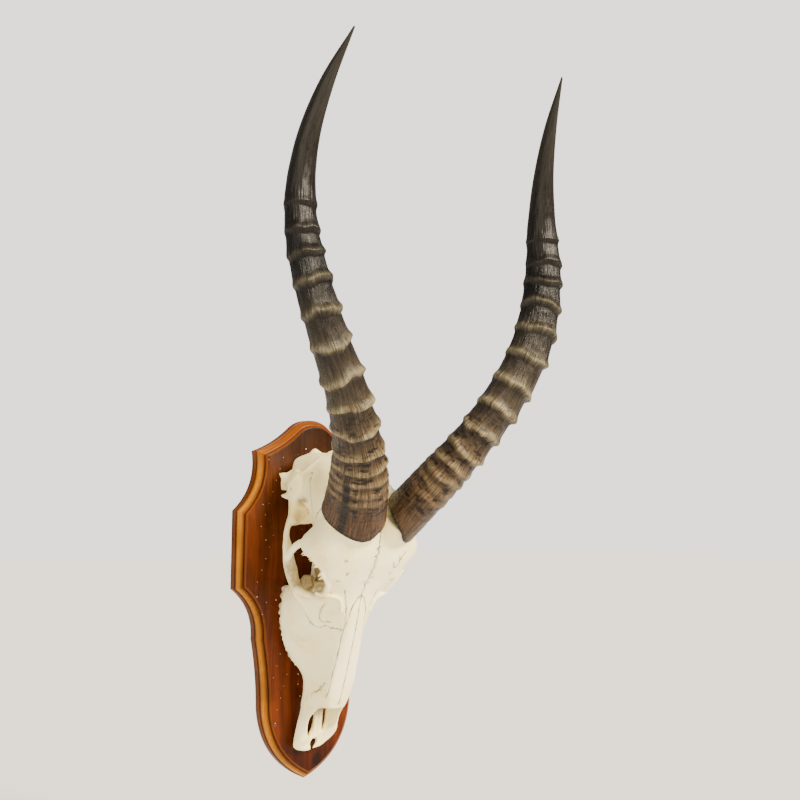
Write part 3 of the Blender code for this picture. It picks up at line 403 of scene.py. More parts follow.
# A rod along the temple's top, points along the broken upper edge of the eye socket, and how near to one of
# these points the bone is drawn out into a spur.
TEMPLE_LINE = (
    (14, -68, 148.5, 0.8, 0.8), (27.5, -71.5, 141, 1.5, 1.5), (36.5, -65.5, 131, 1.6, 1.6),
    (42.5, -57, 125.5, 1.6, 1.6), (46, -52, 117, 1.5, 1.5), (46, -49.5, 106, 1.0, 1.0),
)
THORN_ROOM = 3.2
EYE_RIM_EDGE = (
    (58.5, -106, 53), (58, -112, 50.5), (55.5, -116.5, 47), (53, -117, 43.5),
    (49.5, -115.5, 39.5), (46.5, -114.5, 35.5), (42, -114, 29),
)
# Marks on the wood's face as (x, z, size): the plug and the larger specks of dust.
PLUG = (-40.5, -126.4, 2.4)
DUST = (
    (-11.1, 153.7, 0.9), (-64.7, 3.0, 0.8), (-42.9, -0.8, 0.8), (-15.5, -77.1, 0.8),
    (-15.3, -87.3, 0.6), (-12.7, -99.6, 0.7), (-60.0, 96.0, 0.6), (-56.0, 60.0, 0.7),
)
# Fine specks: how many, their area's upper left corner and size, the steps that spread them over it, and how
# far from the board's middle they may lie at each height.
FINE_DUST = 60
DUST_CORNER = (-76.0, 150.0)
DUST_AREA = (70.0, 300.0)
DUST_STEPS = (0.618034, 0.754878, 0.381966)
DUST_HEIGHTS = (-150, -110, -50, 0, 100, 130, 150)
DUST_REACH = (30, 42, 50, 66, 74, 62, 50)

# Settings of a Mix node that blends or multiplies two colours. Its sockets are 0, the share, and 6 and 7.
BLENDED = {"data_type": "RGBA", "output": 2}
SHADED = {"data_type": "RGBA", "blend_type": "MULTIPLY", "output": 2}
# The board's stain from its tip to its top, and the heights in metres that it runs between.
STAIN_LOW, STAIN_HIGH = -0.19, 0.185
FIELD_TONES = (
    (0.0, "#1E0500"), (0.25, "#582301"), (0.42, "#4D1F08"),
    (0.62, "#522408"), (0.8, "#451E02"), (1.0, "#221304"),
)
# Its moulding from the field back to the wall: lip, dark quirk, golden round, square edge.
EDGE_TONES = (
    (0.0, "#6E3502"), (0.1, "#5E2C02"), (0.17, "#271200"), (0.21, "#623400"),
    (0.3, "#A06300"), (0.42, "#B06E00"), (0.53, "#6D3800"), (0.56, "#2E0F00"),
    (0.62, "#683503"), (0.85, "#582A02"), (1.0, "#2A1002"),
)
# Marks in the wood, in metres: place, how much its distance counts along each axis, radius and strength. They
# are a dark mark near the tip, drawn out along the grain, and a dent in the moulding near the top.
WOOD_MARKS = (
    ((0.009, -0.0198, -0.169), (1.5, 1.0, 0.75), 0.0105, 0.9),
    ((-0.0031, -0.0185, 0.1738), (1.0, 1.0, 1.0), 0.0022, 0.85),
)
IVORY_TONES = ((0.3, "#F2DF9E"), (0.45, "#FCEFB8"), (0.7, "#FFF8CE"))
TAN_STAIN_AND_SHADE_TONES = ((0.3, "#544228"), (0.55, "#806A44"), (0.75, "#AC9666"))
ENAMEL_TONES = ((0.3, "#B8A47C"), (0.55, "#D9CBA6"), (0.75, "#EBE2CB"))
# In metres: the dark streak's place on the left sheath, as horn_place gives it, and the horn's length.
STREAK_PLACE = (-0.0024, 0.0199, 0.0)
HORN_LENGTH = 0.484
# The horn from base to tip: between its rings, where each sheath's own base tone comes first and the darker
# tones are partly painted shade in the grooves, on its rings and on their worn crests.
HOLLOW_AND_SHADE_TONES = ((0.14, "#382A1A"), (0.3, "#272019"), (0.55, "#040303"), (0.7, "#161310"), (1.0, "#26241E"))
SWELL_TONES = (
    (0.0, "#4D331B"), (0.14, "#5C4B34"), (0.35, "#524A38"),
    (0.55, "#0A0805"), (0.68, "#181511"), (1.0, "#292720"),
)
WORN_TONES = (
    (0.0, "#4F3B22"), (0.13, "#77684C"), (0.3, "#80775B"),
    (0.45, "#5C5644"), (0.6, "#1A1610"), (0.68, "#120D09"),
)


def linear(hex_colour):
    """The linear colour of an sRGB hex value."""
    parts = [int(hex_colour[i:i + 2], 16) / 255 for i in (1, 3, 5)]
    return [c / 12.92 if c <= 0.04045 else ((c + 0.055) / 1.055) ** 2.4 for c in parts] + [1.0]


def set_inputs(tree, node, inputs):
    """Gives each named socket of a node a value or another node's output."""
    for socket, value in inputs.items():
        if isinstance(value, bpy.types.NodeSocket):
            tree.links.new(value, node.inputs[socket])
        else:
            node.inputs[socket].default_value = value


def add(tree, kind, inputs=None, stops=(), output=0, **settings):
    """Adds a node with its settings and links and returns one of its outputs. stops fill a colour ramp."""
    node = tree.nodes.new("ShaderNode" + kind)
    for name, value in settings.items():
        setattr(node, name, value)
    for place, colour in stops[1:-1]:
        node.color_ramp.elements.new(place)
    for element, (place, colour) in zip(node.color_ramp.elements if stops else (), stops):
        element.position = place
        element.color = linear(colour) if isinstance(colour, str) else (colour, colour, colour, 1.0)
    set_inputs(tree, node, inputs or {})
    return node.outputs[output]


def start_material(name):
    material = bpy.data.materials.new(name)
    material.use_nodes = True
    tree = material.node_tree
    return material, tree, tree.nodes["Principled BSDF"]


def distance_from(tree, place, spot, stretch):
    """How far each point is from a spot, with each axis counted by its own share."""
    away = add(tree, "VectorMath", {0: place, 1: spot}, operation="SUBTRACT")
    away = add(tree, "VectorMath", {0: away, 1: stretch}, operation="MULTIPLY")
    return add(tree, "VectorMath", {0: away}, output="Value", operation="LENGTH")


def curve_through(points, steps):
    """Rows on a smooth curve through the given rows, with so many steps from each to the next."""
    rows = np.array(points, float)
    rows = np.vstack([2 * rows[0] - rows[1], rows, 2 * rows[-1] - rows[-2]])
    out = []
    for before, start, end, after in zip(rows, rows[1:], rows[2:], rows[3:]):
        for step in range(steps):
            t = step / steps
            bend = (2 * before - 5 * start + 4 * end - after) * t * t
            turn_of_bend = (3 * start - before - 3 * end + after) * t ** 3
            out.append(0.5 * (2 * start + (end - before) * t + bend + turn_of_bend))
    out.append(rows[-2])
    return np.array(out)


def skin(bm, rings, marks=()):
    """Grows a closed tube from ring to ring by extruding its open edge, closes both ends and adds it to bm.
    marks are (name, kind of layer, values ring by ring) and stay on the points."""
    tube = bmesh.new()
    layers = [(getattr(tube.verts.layers, kind).new(name), values) for name, kind, values in marks]
    verts = bmesh.ops.create_circle(tube, segments=len(rings[0]), radius=1.0)["verts"]
    edges = [tube.edges.get((a, b)) for a, b in zip(verts, verts[1:] + verts[:1])]
    bmesh.ops.contextual_create(tube, geom=edges)
    for i, ring in enumerate(rings):
        if i:
            grown = bmesh.ops.extrude_edge_only(tube, edges=edges)["geom"]
            fresh = {item for item in grown if isinstance(item, bmesh.types.BMVert)}
            verts = [next(e.other_vert(v) for e in v.link_edges if e.other_vert(v) in fresh) for v in verts]
            edges = [tube.edges.get((a, b)) for a, b in zip(verts, verts[1:] + verts[:1])]
        for k, vert in enumerate(verts):
            vert.co = ring[k]
            for layer, values in layers:
                vert[layer] = values[i][k]
    bmesh.ops.contextual_create(tube, geom=edges)
    bmesh.ops.recalc_face_normals(tube, faces=tube.faces)
    bmesh.ops.poke(tube, faces=[face for face in tube.faces if len(face.verts) > 4])
    mesh = bpy.data.meshes.new("tube")
    tube.to_mesh(mesh)
    tube.free()
    bm.from_mesh(mesh)
    bpy.data.meshes.remove(mesh)


def body(bm, stations, around=6, along=6):
    """A form that is the same on both sides, skinned over half outlines at heights z."""
    rows = np.array([[z] + [value for point in outline for value in point] for z, outline in stations], float)
    rings = []
    for row in curve_through(rows, along):
        half = curve_through(row[1:].reshape(-1, 2), around)
        outline = [(x, y) for x, y in half] + [(-x, y) for x, y in half[-2:0:-1]]
        rings.append([Vector((x, y, row[0])) for x, y in outline])
    skin(bm, rings)


def rod_rings(path, steps, sides, up):
    """Oval rings across a smooth path of (x, y, z, size away from up, size along up)."""
    rows = curve_through(path, steps)
    rings = []
    for i, row in enumerate(rows):
        ahead = Vector(rows[min(i + 1, len(rows) - 1)][:3] - rows[max(i - 1, 0)][:3]).normalized()
        high = (up - ahead * up.dot(ahead)).normalized()
        wide = ahead.cross(high)
        ring = []
        for k in range(sides):
            turn = 2 * math.pi * k / sides
            ring.append(Vector(row[:3]) + wide * (row[3] * math.cos(turn)) + high * (row[4] * math.sin(turn)))
        rings.append(ring)
    return rings


def rods(bm, path, up=ROD_UP, steps=6, sides=20, sides_of_head=(1, -1)):
    """A rod of bone on each side of the head."""
    for side in sides_of_head:
        mirrored = [(side * row[0],) + tuple(row[1:]) for row in path]
        skin(bm, rod_rings(mirrored, steps, sides, Vector((side * up.x, up.y, up.z))))


def finished_mesh(bm, name):
    """Turns millimetres into metres and ends the mesh."""
    bmesh.ops.scale(bm, vec=(MM, MM, MM), verts=bm.verts)
    mesh = bpy.data.meshes.new(name)
    bm.to_mesh(mesh)
    bm.free()
    mesh.shade_smooth()
    return mesh


def add_object(name, data, material=None):
    item = bpy.data.objects.new(name, data)
    bpy.context.scene.collection.objects.link(item)
    if material:
        data.materials.append(material)
    return item


def fit(item, node):
    """The piece stands in for a CAD node: it hangs from the root and the node is hidden."""
    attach(item, "root")
    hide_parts(node)


def grow_together(item, voxel):
    remesh = item.modifiers.new("grow together", "REMESH")
    remesh.mode = "VOXEL"
    remesh.voxel_size = voxel * MM


def subtract(item, cutter):
    cut = item.modifiers.new("cut " + cutter.name, "BOOLEAN")
    cut.operation = "DIFFERENCE"
    cut.object = cutter


def bake(item):
    """Makes what the modifiers give the object's own mesh."""
    graph = bpy.context.evaluated_depsgraph_get()
    mesh = bpy.data.meshes.new_from_object(item.evaluated_get(graph))
    item.modifiers.clear()
    item.data = mesh


def smooth_step(value, low, high):
    t = min(max((value - low) / (high - low), 0.0), 1.0)
    return t * t * (3 - 2 * t)


def moved_in(start, end, bulge, inset):
    """An edge of the shield, moved inwards and drawn a little past both its corners."""
    t = np.linspace(*EDGE_SPAN, EDGE_POINTS)[:, None]
    chord = end - start
    left = np.array([-chord[1], chord[0]]) / np.hypot(*chord)
    points = start + chord * t + left * (bulge * 4 * t * (1 - t))
    ahead = chord + left * (bulge * 4 * (1 - 2 * t))
    outwards = np.column_stack([-ahead[:, 1], ahead[:, 0]]) / np.hypot(ahead[:, 0], ahead[:, 1])[:, None]
    return points - outwards * inset


def crossing(first, second):
    """Where two lines of points cross, as how many steps along each."""
    a, b = first[:-1, None], first[1:, None]
    c, d = second[None, :-1], second[None, 1:]
    r, s, gap = b - a, d - c, c - a
    area = r[..., 0] * s[..., 1] - r[..., 1] * s[..., 0] + 1e-12
    t = (gap[..., 0] * s[..., 1] - gap[..., 1] * s[..., 0]) / area
    u = (gap[..., 0] * r[..., 1] - gap[..., 1] * r[..., 0]) / area
    found = np.argwhere((t > -1e-6) & (t < 1 + 1e-6) & (u > -1e-6) & (u < 1 + 1e-6))
    i, j = min(found, key=lambda pair: abs(pair[0] - EDGE_END) + abs(pair[1] - EDGE_START))
    return i + t[i, j], j + u[i, j]


def shield_ring(inset, depth):
    """The shield's outline so far in and so far off the wall, with the same number of points for every
    inset."""
    corners = [np.array(SHIELD_TOP)] + [np.array(corner) for corner, _, _ in SHIELD_EDGES]
    edges = [moved_in(a, b, bulge, inset) for a, b, (_, bulge, _) in zip(corners, corners[1:], SHIELD_EDGES)]
    edges = [edges[0] * (-1, 1)][::-1] + edges + [edges[-1] * (-1, 1)]
    edges[0] = edges[0][::-1]
    edges[-1] = edges[-1][::-1]
    ends = [crossing(a, b) for a, b in zip(edges, edges[1:])]
    right = []
    for edge, (_, begin), (finish, _), (_, _, steps) in zip(edges[1:-1], ends, ends[1:], SHIELD_EDGES):
        for place in np.linspace(begin, finish, 6 * steps + 1)[:-1]:
            right.append([np.interp(place, np.arange(len(edge)), edge[:, k]) for k in range(2)])
    last = edges[-2]
    right.append([np.interp(ends[-1][0], np.arange(len(last)), last[:, k]) for k in range(2)])
    outline = right + [[-x, z] for x, z in right[-2:0:-1]]
    return [Vector((x, -depth, z)) for x, z in outline]


def plaque():
    bm = bmesh.new()
    skin(bm, [shield_ring(0.0, 0.0)] + [shield_ring(inset, depth) for inset, depth in PROFILE])
    mesh = finished_mesh(bm, "shield_board")
    mesh.set_sharp_from_angle(angle=math.radians(35))
    fit(add_object("shield_board", mesh, varnished_pine()), "plaque")


def lie_on_wood(item):
    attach(item, "root")


def filler_plug():
    """The round plug of filler low on the left: a flat disc with a domed face."""
    bm = bmesh.new()
    x, z, size = PLUG
    rings = []
    for share, high in ((1.0, 0.02), (0.98, 0.2), (0.85, 0.42), (0.5, 0.6), (0.1, 0.66)):
        turns = np.arange(PLUG_SIDES) * 2 * math.pi / PLUG_SIDES
        rings.append([Vector((x + size * share * math.cos(turn), -SHIELD_THICK - high,
                              z - size * share * math.sin(turn))) for turn in turns])
    skin(bm, rings)
    lie_on_wood(add_object("filler_plug", finished_mesh(bm, "filler_plug"), filler_wax()))


def dust_specks():
    """Dust on the left of the board's face, where the light shows it."""
    bm = bmesh.new()
    specks = list(DUST)
    for i in range(FINE_DUST):
        across, down, more = (step * i % 1.0 for step in DUST_STEPS)
        x = DUST_CORNER[0] + DUST_AREA[0] * across ** 0.8
        z = DUST_CORNER[1] - DUST_AREA[1] * down
        if abs(x) < np.interp(z, DUST_HEIGHTS, DUST_REACH):
            specks.append((x, z, 0.28 + 0.2 * more))
    for x, z, size in specks:
        speck = bmesh.ops.create_icosphere(bm, subdivisions=1, radius=size)["verts"]
        bmesh.ops.scale(bm, vec=(1.0, 0.35, 0.8), verts=speck)
        bmesh.ops.translate(bm, vec=(x, -SHIELD_THICK - 0.2 * size, z), verts=speck)
    lie_on_wood(add_object("dust_specks", finished_mesh(bm, "dust_specks"), white_dust()))


def horn_relief(places, turns, seed):
    """How far the horn's surface stands out at every place and turn, how high on a ring that is from 0 to 1,
    and how near to a ring's crest it is."""
    along = places[:, None]
    turn = turns[None, :]
    lift = np.zeros((len(places), len(turns)))
    rise = np.zeros_like(lift)
    crest = np.zeros_like(lift)
    for i, (middle, strength) in enumerate(HORN_RINGS):
        room = HORN_RINGS[min(i + 1, len(HORN_RINGS) - 1)][0] - middle or 20.0
        wave = (0.9 * np.sin(2 * turn + 1.9 * i + seed) + 0.7 * np.sin(3 * turn + 2.7 * i)
                + 0.4 * np.sin(7 * turn + 4.1 * i + seed))
        offset = along - middle - wave * room / 18
        above = 0.62 * np.exp(-(offset / RING_ABOVE) ** 2) + 0.38 * np.exp(-(offset / (0.5 * room)) ** 2)
        shape = np.where(offset < 0, np.exp(-(offset / RING_BELOW) ** 2), above)
        uneven = 1 + 0.14 * np.sin(4 * turn + 3.3 * i + seed) + 0.1 * np.sin(9 * turn + 1.7 * i)
        lift = np.maximum(lift, strength * uneven * shape)
        rise = np.maximum(rise, shape)
        crest = np.maximum(crest, min(1.0, strength / 2.0) * np.exp(-((offset - 0.8) / 3.0) ** 2))
    return lift * (0.8 + 0.5 * np.cos(turn - RING_FRONT)), rise, crest


def horn_roughness(turn, place, seed):
    """Small unevenness of the horn, with rows of pits between the close rings near its base."""
    growth, fibres, ripple = (
        noise.noise(Vector((narrow * math.cos(turn), narrow * math.sin(turn), place / tall + 50 * seed)))
        for narrow, tall in ((3, 9.0), (26, 18.0), (2, 2.2)))
    rough = 0.35 * growth + 0.5 * fibres + 0.35 * ripple * (1 - smooth_step(place, *RIPPLE_FADE))
    return rough * (1 - smooth_step(place, *ROUGH_FADE))


def lengths_along(rows):
    """How far along a line of points each point is."""
    return np.concatenate([[0.0], np.cumsum(np.linalg.norm(np.diff(rows, axis=0), axis=1))])


def horn(name, node, side, seed):
    """A ringed sheath on the right (1) or the left (-1). seed makes its unevenness its own."""
    rows = curve_through(HORN_PATH, 24)[24:]
    along = lengths_along(rows[:, :3])
    places = np.append(np.arange(0.0, along[-1] - 1.0, HORN_STEP), along[-1])
    turns = np.arange(HORN_SIDES) * 2 * math.pi / HORN_SIDES
    lift, rise, crest = horn_relief(places, turns, seed)
    crest_places, strengths = zip(*HORN_RINGS)
    rims = np.interp(np.degrees(turns), RIM_ANGLES, RIM_RIGHT if side > 0 else RIM_LEFT, period=360)
    radius = UNROLLED_RADIUS * MM
    rings, places_on_horn = [], []
    for i, place in enumerate(places):
        row = [np.interp(place, along, rows[:, k]) for k in range(5)]
        near = min(int(np.searchsorted(along, place)), len(rows) - 2)
        ahead = Vector(rows[near + 1][:3] - rows[max(near - 1, 0)][:3]).normalized()
        wide = (HORN_WIDE_AXIS - ahead * HORN_WIDE_AXIS.dot(ahead)).normalized()
        deep = ahead.cross(wide)
        fade = math.exp(-place / RIM_FADE)
        sunk = -0.85 * np.interp(place, crest_places, strengths, right=0.0)
        ring, ring_on_horn = [], []
        for k, turn in enumerate(turns):
            out = sunk + lift[i, k] + horn_roughness(turn, place, seed)
            point = (Vector(row[:3]) + wide * ((row[3] + out) * math.cos(turn))
                     + deep * ((row[4] + out) * math.sin(turn)) + ahead * (rims[k] * fade))
            ring.append(Vector((side * point.x, point.y, point.z)))
            ring_on_horn.append(Vector((radius * math.cos(turn), radius * math.sin(turn), place * MM)))
        rings.append(ring)
        places_on_horn.append(ring_on_horn)
    bm = bmesh.new()
    skin(bm, rings, (("horn_place", "float_vector", places_on_horn), ("rise", "float", rise),
                     ("crest", "float", crest)))
    fit(add_object(name, finished_mesh(bm, name), horn_keratin(side)), node)


def tooth_rings(place, heading, length, width, side, lobes):
    """A cheek tooth from root to chewing face, with a rounded pillar on its outer side for each lobe."""
    across = Vector((heading.y, -heading.x)) * side
    rings = []
    for y, share in TOOTH_SECTIONS:
        ring = []
        for k in range(TOOTH_SIDES):
            turn = 2 * math.pi * k / TOOTH_SIDES
            u = math.copysign(abs(math.cos(turn)) ** 0.5, math.cos(turn))
            v = math.copysign(abs(math.sin(turn)) ** 0.7, math.sin(turn))
            v *= 0.86 + 0.14 * math.cos(math.pi * (lobes * u + lobes - 1))
            flat = heading * (u * length / 2 * (0.5 + share / 2)) + across * (v * width / 2 * share)
            ring.append(Vector((place.x + flat.x, y, place.y + flat.y)))
        rings.append(ring)
    return rings


def tooth_places():
    """Middle and direction of each tooth in the right row, as (x, z) vectors."""
    bow = curve_through(TOOTH_ROW_BOW, 12)
    along = lengths_along(bow)
    start = (along[-1] - sum(TOOTH_LENGTHS)) / 2
    for length in TOOTH_LENGTHS:
        middle = start + length / 2
        ends = [Vector([np.interp(middle + step, along, bow[:, k]) for k in range(2)]) for step in (-1, 0, 1)]
        yield ends[1], (ends[2] - ends[0]).normalized()
        start += length


def teeth():
    enamel = tooth_enamel()
    shapes = zip(tooth_places(), TOOTH_LENGTHS, TOOTH_WIDTHS, TOOTH_LOBES, TOOTH_NAMES)
    for (place, heading), length, width, lobes, name in shapes:
        for side, side_name in ((-1, "left"), (1, "right")):
            where = Vector((side * place.x, place.y))
            facing = Vector((side * heading.x, heading.y))
            bm = bmesh.new()
            skin(bm, tooth_rings(where, facing, length - FIT_GAP, width, side, lobes))
            item = add_object(f"{name}_{side_name}_crown", finished_mesh(bm, name), enamel)
            fit(item, f"{name}_{side_name}")


def skull_form():
    bm = bmesh.new()
    body(bm, FACE)
    body(bm, CRANIUM)
    body(bm, FOREHEAD)
    for path in (ZYGOMATIC_ARCH, ARCH_ROOT, TEMPLE_FLOOR, POST_EYE_BAR, FRONT_RIM, TEAR_RIDGE, CHEEK_BULGE,
                 EYE_FLOOR, NUCHAL_CREST, MASTOID, MASTOID_PLATE, EAR_SPUR, PAROCCIPITAL, CONDYLE, EAR_BULLA):
        rods(bm, path)
    rods(bm, TEMPLE_LINE, up=Vector((0, -0.5, 0.8)))
    rods(bm, PTERYGOID, up=Vector((0, 1, 0)))
    rods(bm, PEDICLE, up=HORN_WIDE_AXIS.cross(HORN_START), sides=40)
    return bm


def skull_hollows():
    bm = bmesh.new()
    body(bm, NOSE_HOLLOW)
    for path in (CHOANA, BRAIN_HOLE, LIP_GAP) + PALATE_SLITS:
        rods(bm, path, up=ACROSS, sides_of_head=(1,))
    for path in (TEAR_PIT, EAR_HOLE, NERVE_HOLE):
        rods(bm, path, up=ACROSS)
    return bm


def add_slit_bones(item):
    bm = bmesh.new()
    for path in SLIT_BONES:
        rods(bm, path, up=ACROSS, sides_of_head=(1,))
    bmesh.ops.scale(bm, vec=(MM, MM, MM), verts=bm.verts)
    bm.from_mesh(item.data)
    bm.to_mesh(item.data)
    bm.free()


def skew_snout(item):
    """Moves the snout's end up on its right side and down on its left."""
    for vert in item.data.vertices:
        share = min(max((-SKEW_FROM - vert.co.z / MM) / SKEW_OVER, 0.0), 1.0)
        vert.co.z += SNOUT_SKEW * share * vert.co.x


def seam_finder(surface):
    """Finds how far a place is from the nearest seam. Seams waver a little and lie on the bone's surface."""
    points = []
    for waver, sides, path in SEAMS:
        for side in sides:
            for row in curve_through(path, 60):
                place = Vector((side * row[0], row[1], row[2]))
                wide = noise.noise_vector(place * 0.3)
                tight = noise.noise_vector(place * 1.1)
                place += wide * waver + tight * (0.6 * waver)
                points.append(surface.find_nearest(place * MM)[0] / MM)
    finder = kdtree.KDTree(len(points))
    for i, point in enumerate(points):
        finder.insert(point, i)
    finder.balance()
    return finder


def hollowness(item):
    """How many millimetres each point of the bone lies below its smoothed surroundings."""
    smooth = item.modifiers.new("smooth", "SMOOTH")
    smooth.factor = 0.7
    smooth.iterations = 24
    graph = bpy.context.evaluated_depsgraph_get()
    mesh = bpy.data.meshes.new_from_object(item.evaluated_get(graph))
    item.modifiers.clear()
    here, there, out = (np.empty(3 * len(mesh.vertices)) for _ in range(3))
    item.data.vertices.foreach_get("co", here)
    mesh.vertices.foreach_get("co", there)
    item.data.vertices.foreach_get("normal", out)
    bpy.data.meshes.remove(mesh)
    return ((there - here) * out).reshape(-1, 3).sum(axis=1) / MM


def ball_share(place, balls):
    """The strongest of the balls at a place, the same on both sides of the head."""
    share = 0.0
    for x, y, z, radius, strength in balls:
        gap = math.hypot(abs(place.x) - x, place.y - y, place.z - z) / radius
        if gap < 1.0:
            share = max(share, strength * (1 - smooth_step(gap, 0.35, 1.0)))
    return share


def thorns(verts):
    """Small spurs of bone on the eye sockets' upper edges, which were broken when the skull was cleaned."""
    for side in (1, -1):
        way = Vector((0.78 * side, 0.3, -0.5))
        for i, row in enumerate(curve_through(EYE_RIM_EDGE, 2)):
            place = Vector((side * row[0], row[1], row[2])) * MM
            near = [vert for vert in verts if (vert.co - place).length < THORN_ROOM * MM]
            if not near:
                continue
            edge = max(near, key=lambda vert: vert.co.dot(way)).co.copy()
            reach = (2.6 + 2.2 * math.sin(2.3 * i + side) ** 2) * MM
            width = (1.1 + 0.5 * math.sin(4.1 * i) ** 2) * MM
            for vert in near:
                share = max(0.0, 1 - (vert.co - edge).length / width)
                vert.co += way * (reach * share)


def weather(item):
    """Cuts the seams and pits into the bone, roughens it and marks where it is stained and where painted
    shade lies in its hollows.
    """
    # How deep each point lies, for painted shade in the bone's hollows.
    hollow = item.data.attributes.new("hollow", "FLOAT", "POINT")
    hollow.data.foreach_set("value", hollowness(item))
    bm = bmesh.new()
    bm.from_mesh(item.data)
    finder = seam_finder(BVHTree.FromBMesh(bm))
    for reach in SEAM_REACHES:
        near = {vert for vert in bm.verts
                if finder.find(vert.co / MM)[2] < reach or ball_share(vert.co / MM, EYE_RIM)}
        edges = [edge for edge in bm.edges if edge.verts[0] in near and edge.verts[1] in near]
        bmesh.ops.subdivide_edges(bm, edges=edges, cuts=1, use_grid_fill=True)
    bm.normal_update()
    hollow = bm.verts.layers.float["hollow"]
    yellow, stain_and_shade, seam = (bm.verts.layers.float.new(name) for name in ("yellow", "stain_and_shade", "seam"))
    for vert in bm.verts:
        place = vert.co / MM
        gap = finder.find(place)[2]
        groove = math.exp(-(gap / GROOVE_WIDTH) ** 2)
        lips = math.exp(-((gap - LIP_PLACE) / LIP_WIDTH) ** 2)
        # Seams fade in and out, over about 8 mm and over about 1 mm.
        faded = 0.85 + 0.9 * noise.noise(place * 0.12) + 0.7 * noise.noise(place * 0.9)
        pit = ball_share(place, DENTS)
        # Swells of about 9 mm and lumps of about 3 mm, pores of 1.5 mm, and notches 5 mm apart by the teeth.
        rough = 0.32 * noise.noise(place / 9.0) + 0.14 * noise.noise(place / 2.6)
        porous = max(0.0, noise.noise(place / 1.5)) * 0.5 * ball_share(place, POROUS)
        frayed = max(0.0, math.sin(1.22 * place.z) + noise.noise(place / 3.0)) * ball_share(place, FRAYED)
        vert[yellow] = ball_share(place, YELLOWED)
        vert[seam] = min(max(faded, 0.25), 1.0) * groove
        # Painted shade: the deeper a point lies below its surroundings, the tanner it is drawn, with the tan
        # marks listed above added.
        vert[stain_and_shade] = min(1.0, max(0.0, 0.42 * (vert[hollow] - 0.25)) + ball_share(place, STAINS_AND_SHADE))
        vert.co += vert.normal * (MM * (rough + frayed + 0.12 * lips - 0.6 * groove - pit - porous))
    thorns(bm.verts)
    bm.to_mesh(item.data)
    bm.free()


def skull():
    item = add_object("skull_bone", finished_mesh(skull_form(), "skull_bone"))
    grow_together(item, BONE_VOXEL)
    hollows = add_object("skull hollows", finished_mesh(skull_hollows(), "skull hollows"))
    grow_together(hollows, BONE_VOXEL)
    bake(hollows)
    subtract(item, hollows)
    bake(item)
    add_slit_bones(item)
    grow_together(item, BONE_VOXEL)
    soften = item.modifiers.new("soften", "SMOOTH")
    soften.factor = 0.5
    soften.iterations = 3
    bake(item)
    fewer = item.modifiers.new("fewer faces", "DECIMATE")
    fewer.ratio = min(1.0, BONE_TRIANGLES / (2 * len(item.data.polygons)))
    bake(item)
    bpy.data.objects.remove(hollows, do_unlink=True)
    skew_snout(item)
    weather(item)
    item.data.shade_smooth()
    item.data.materials.clear()
    item.data.materials.append(bleached_bone())
    fit(item, "skull")


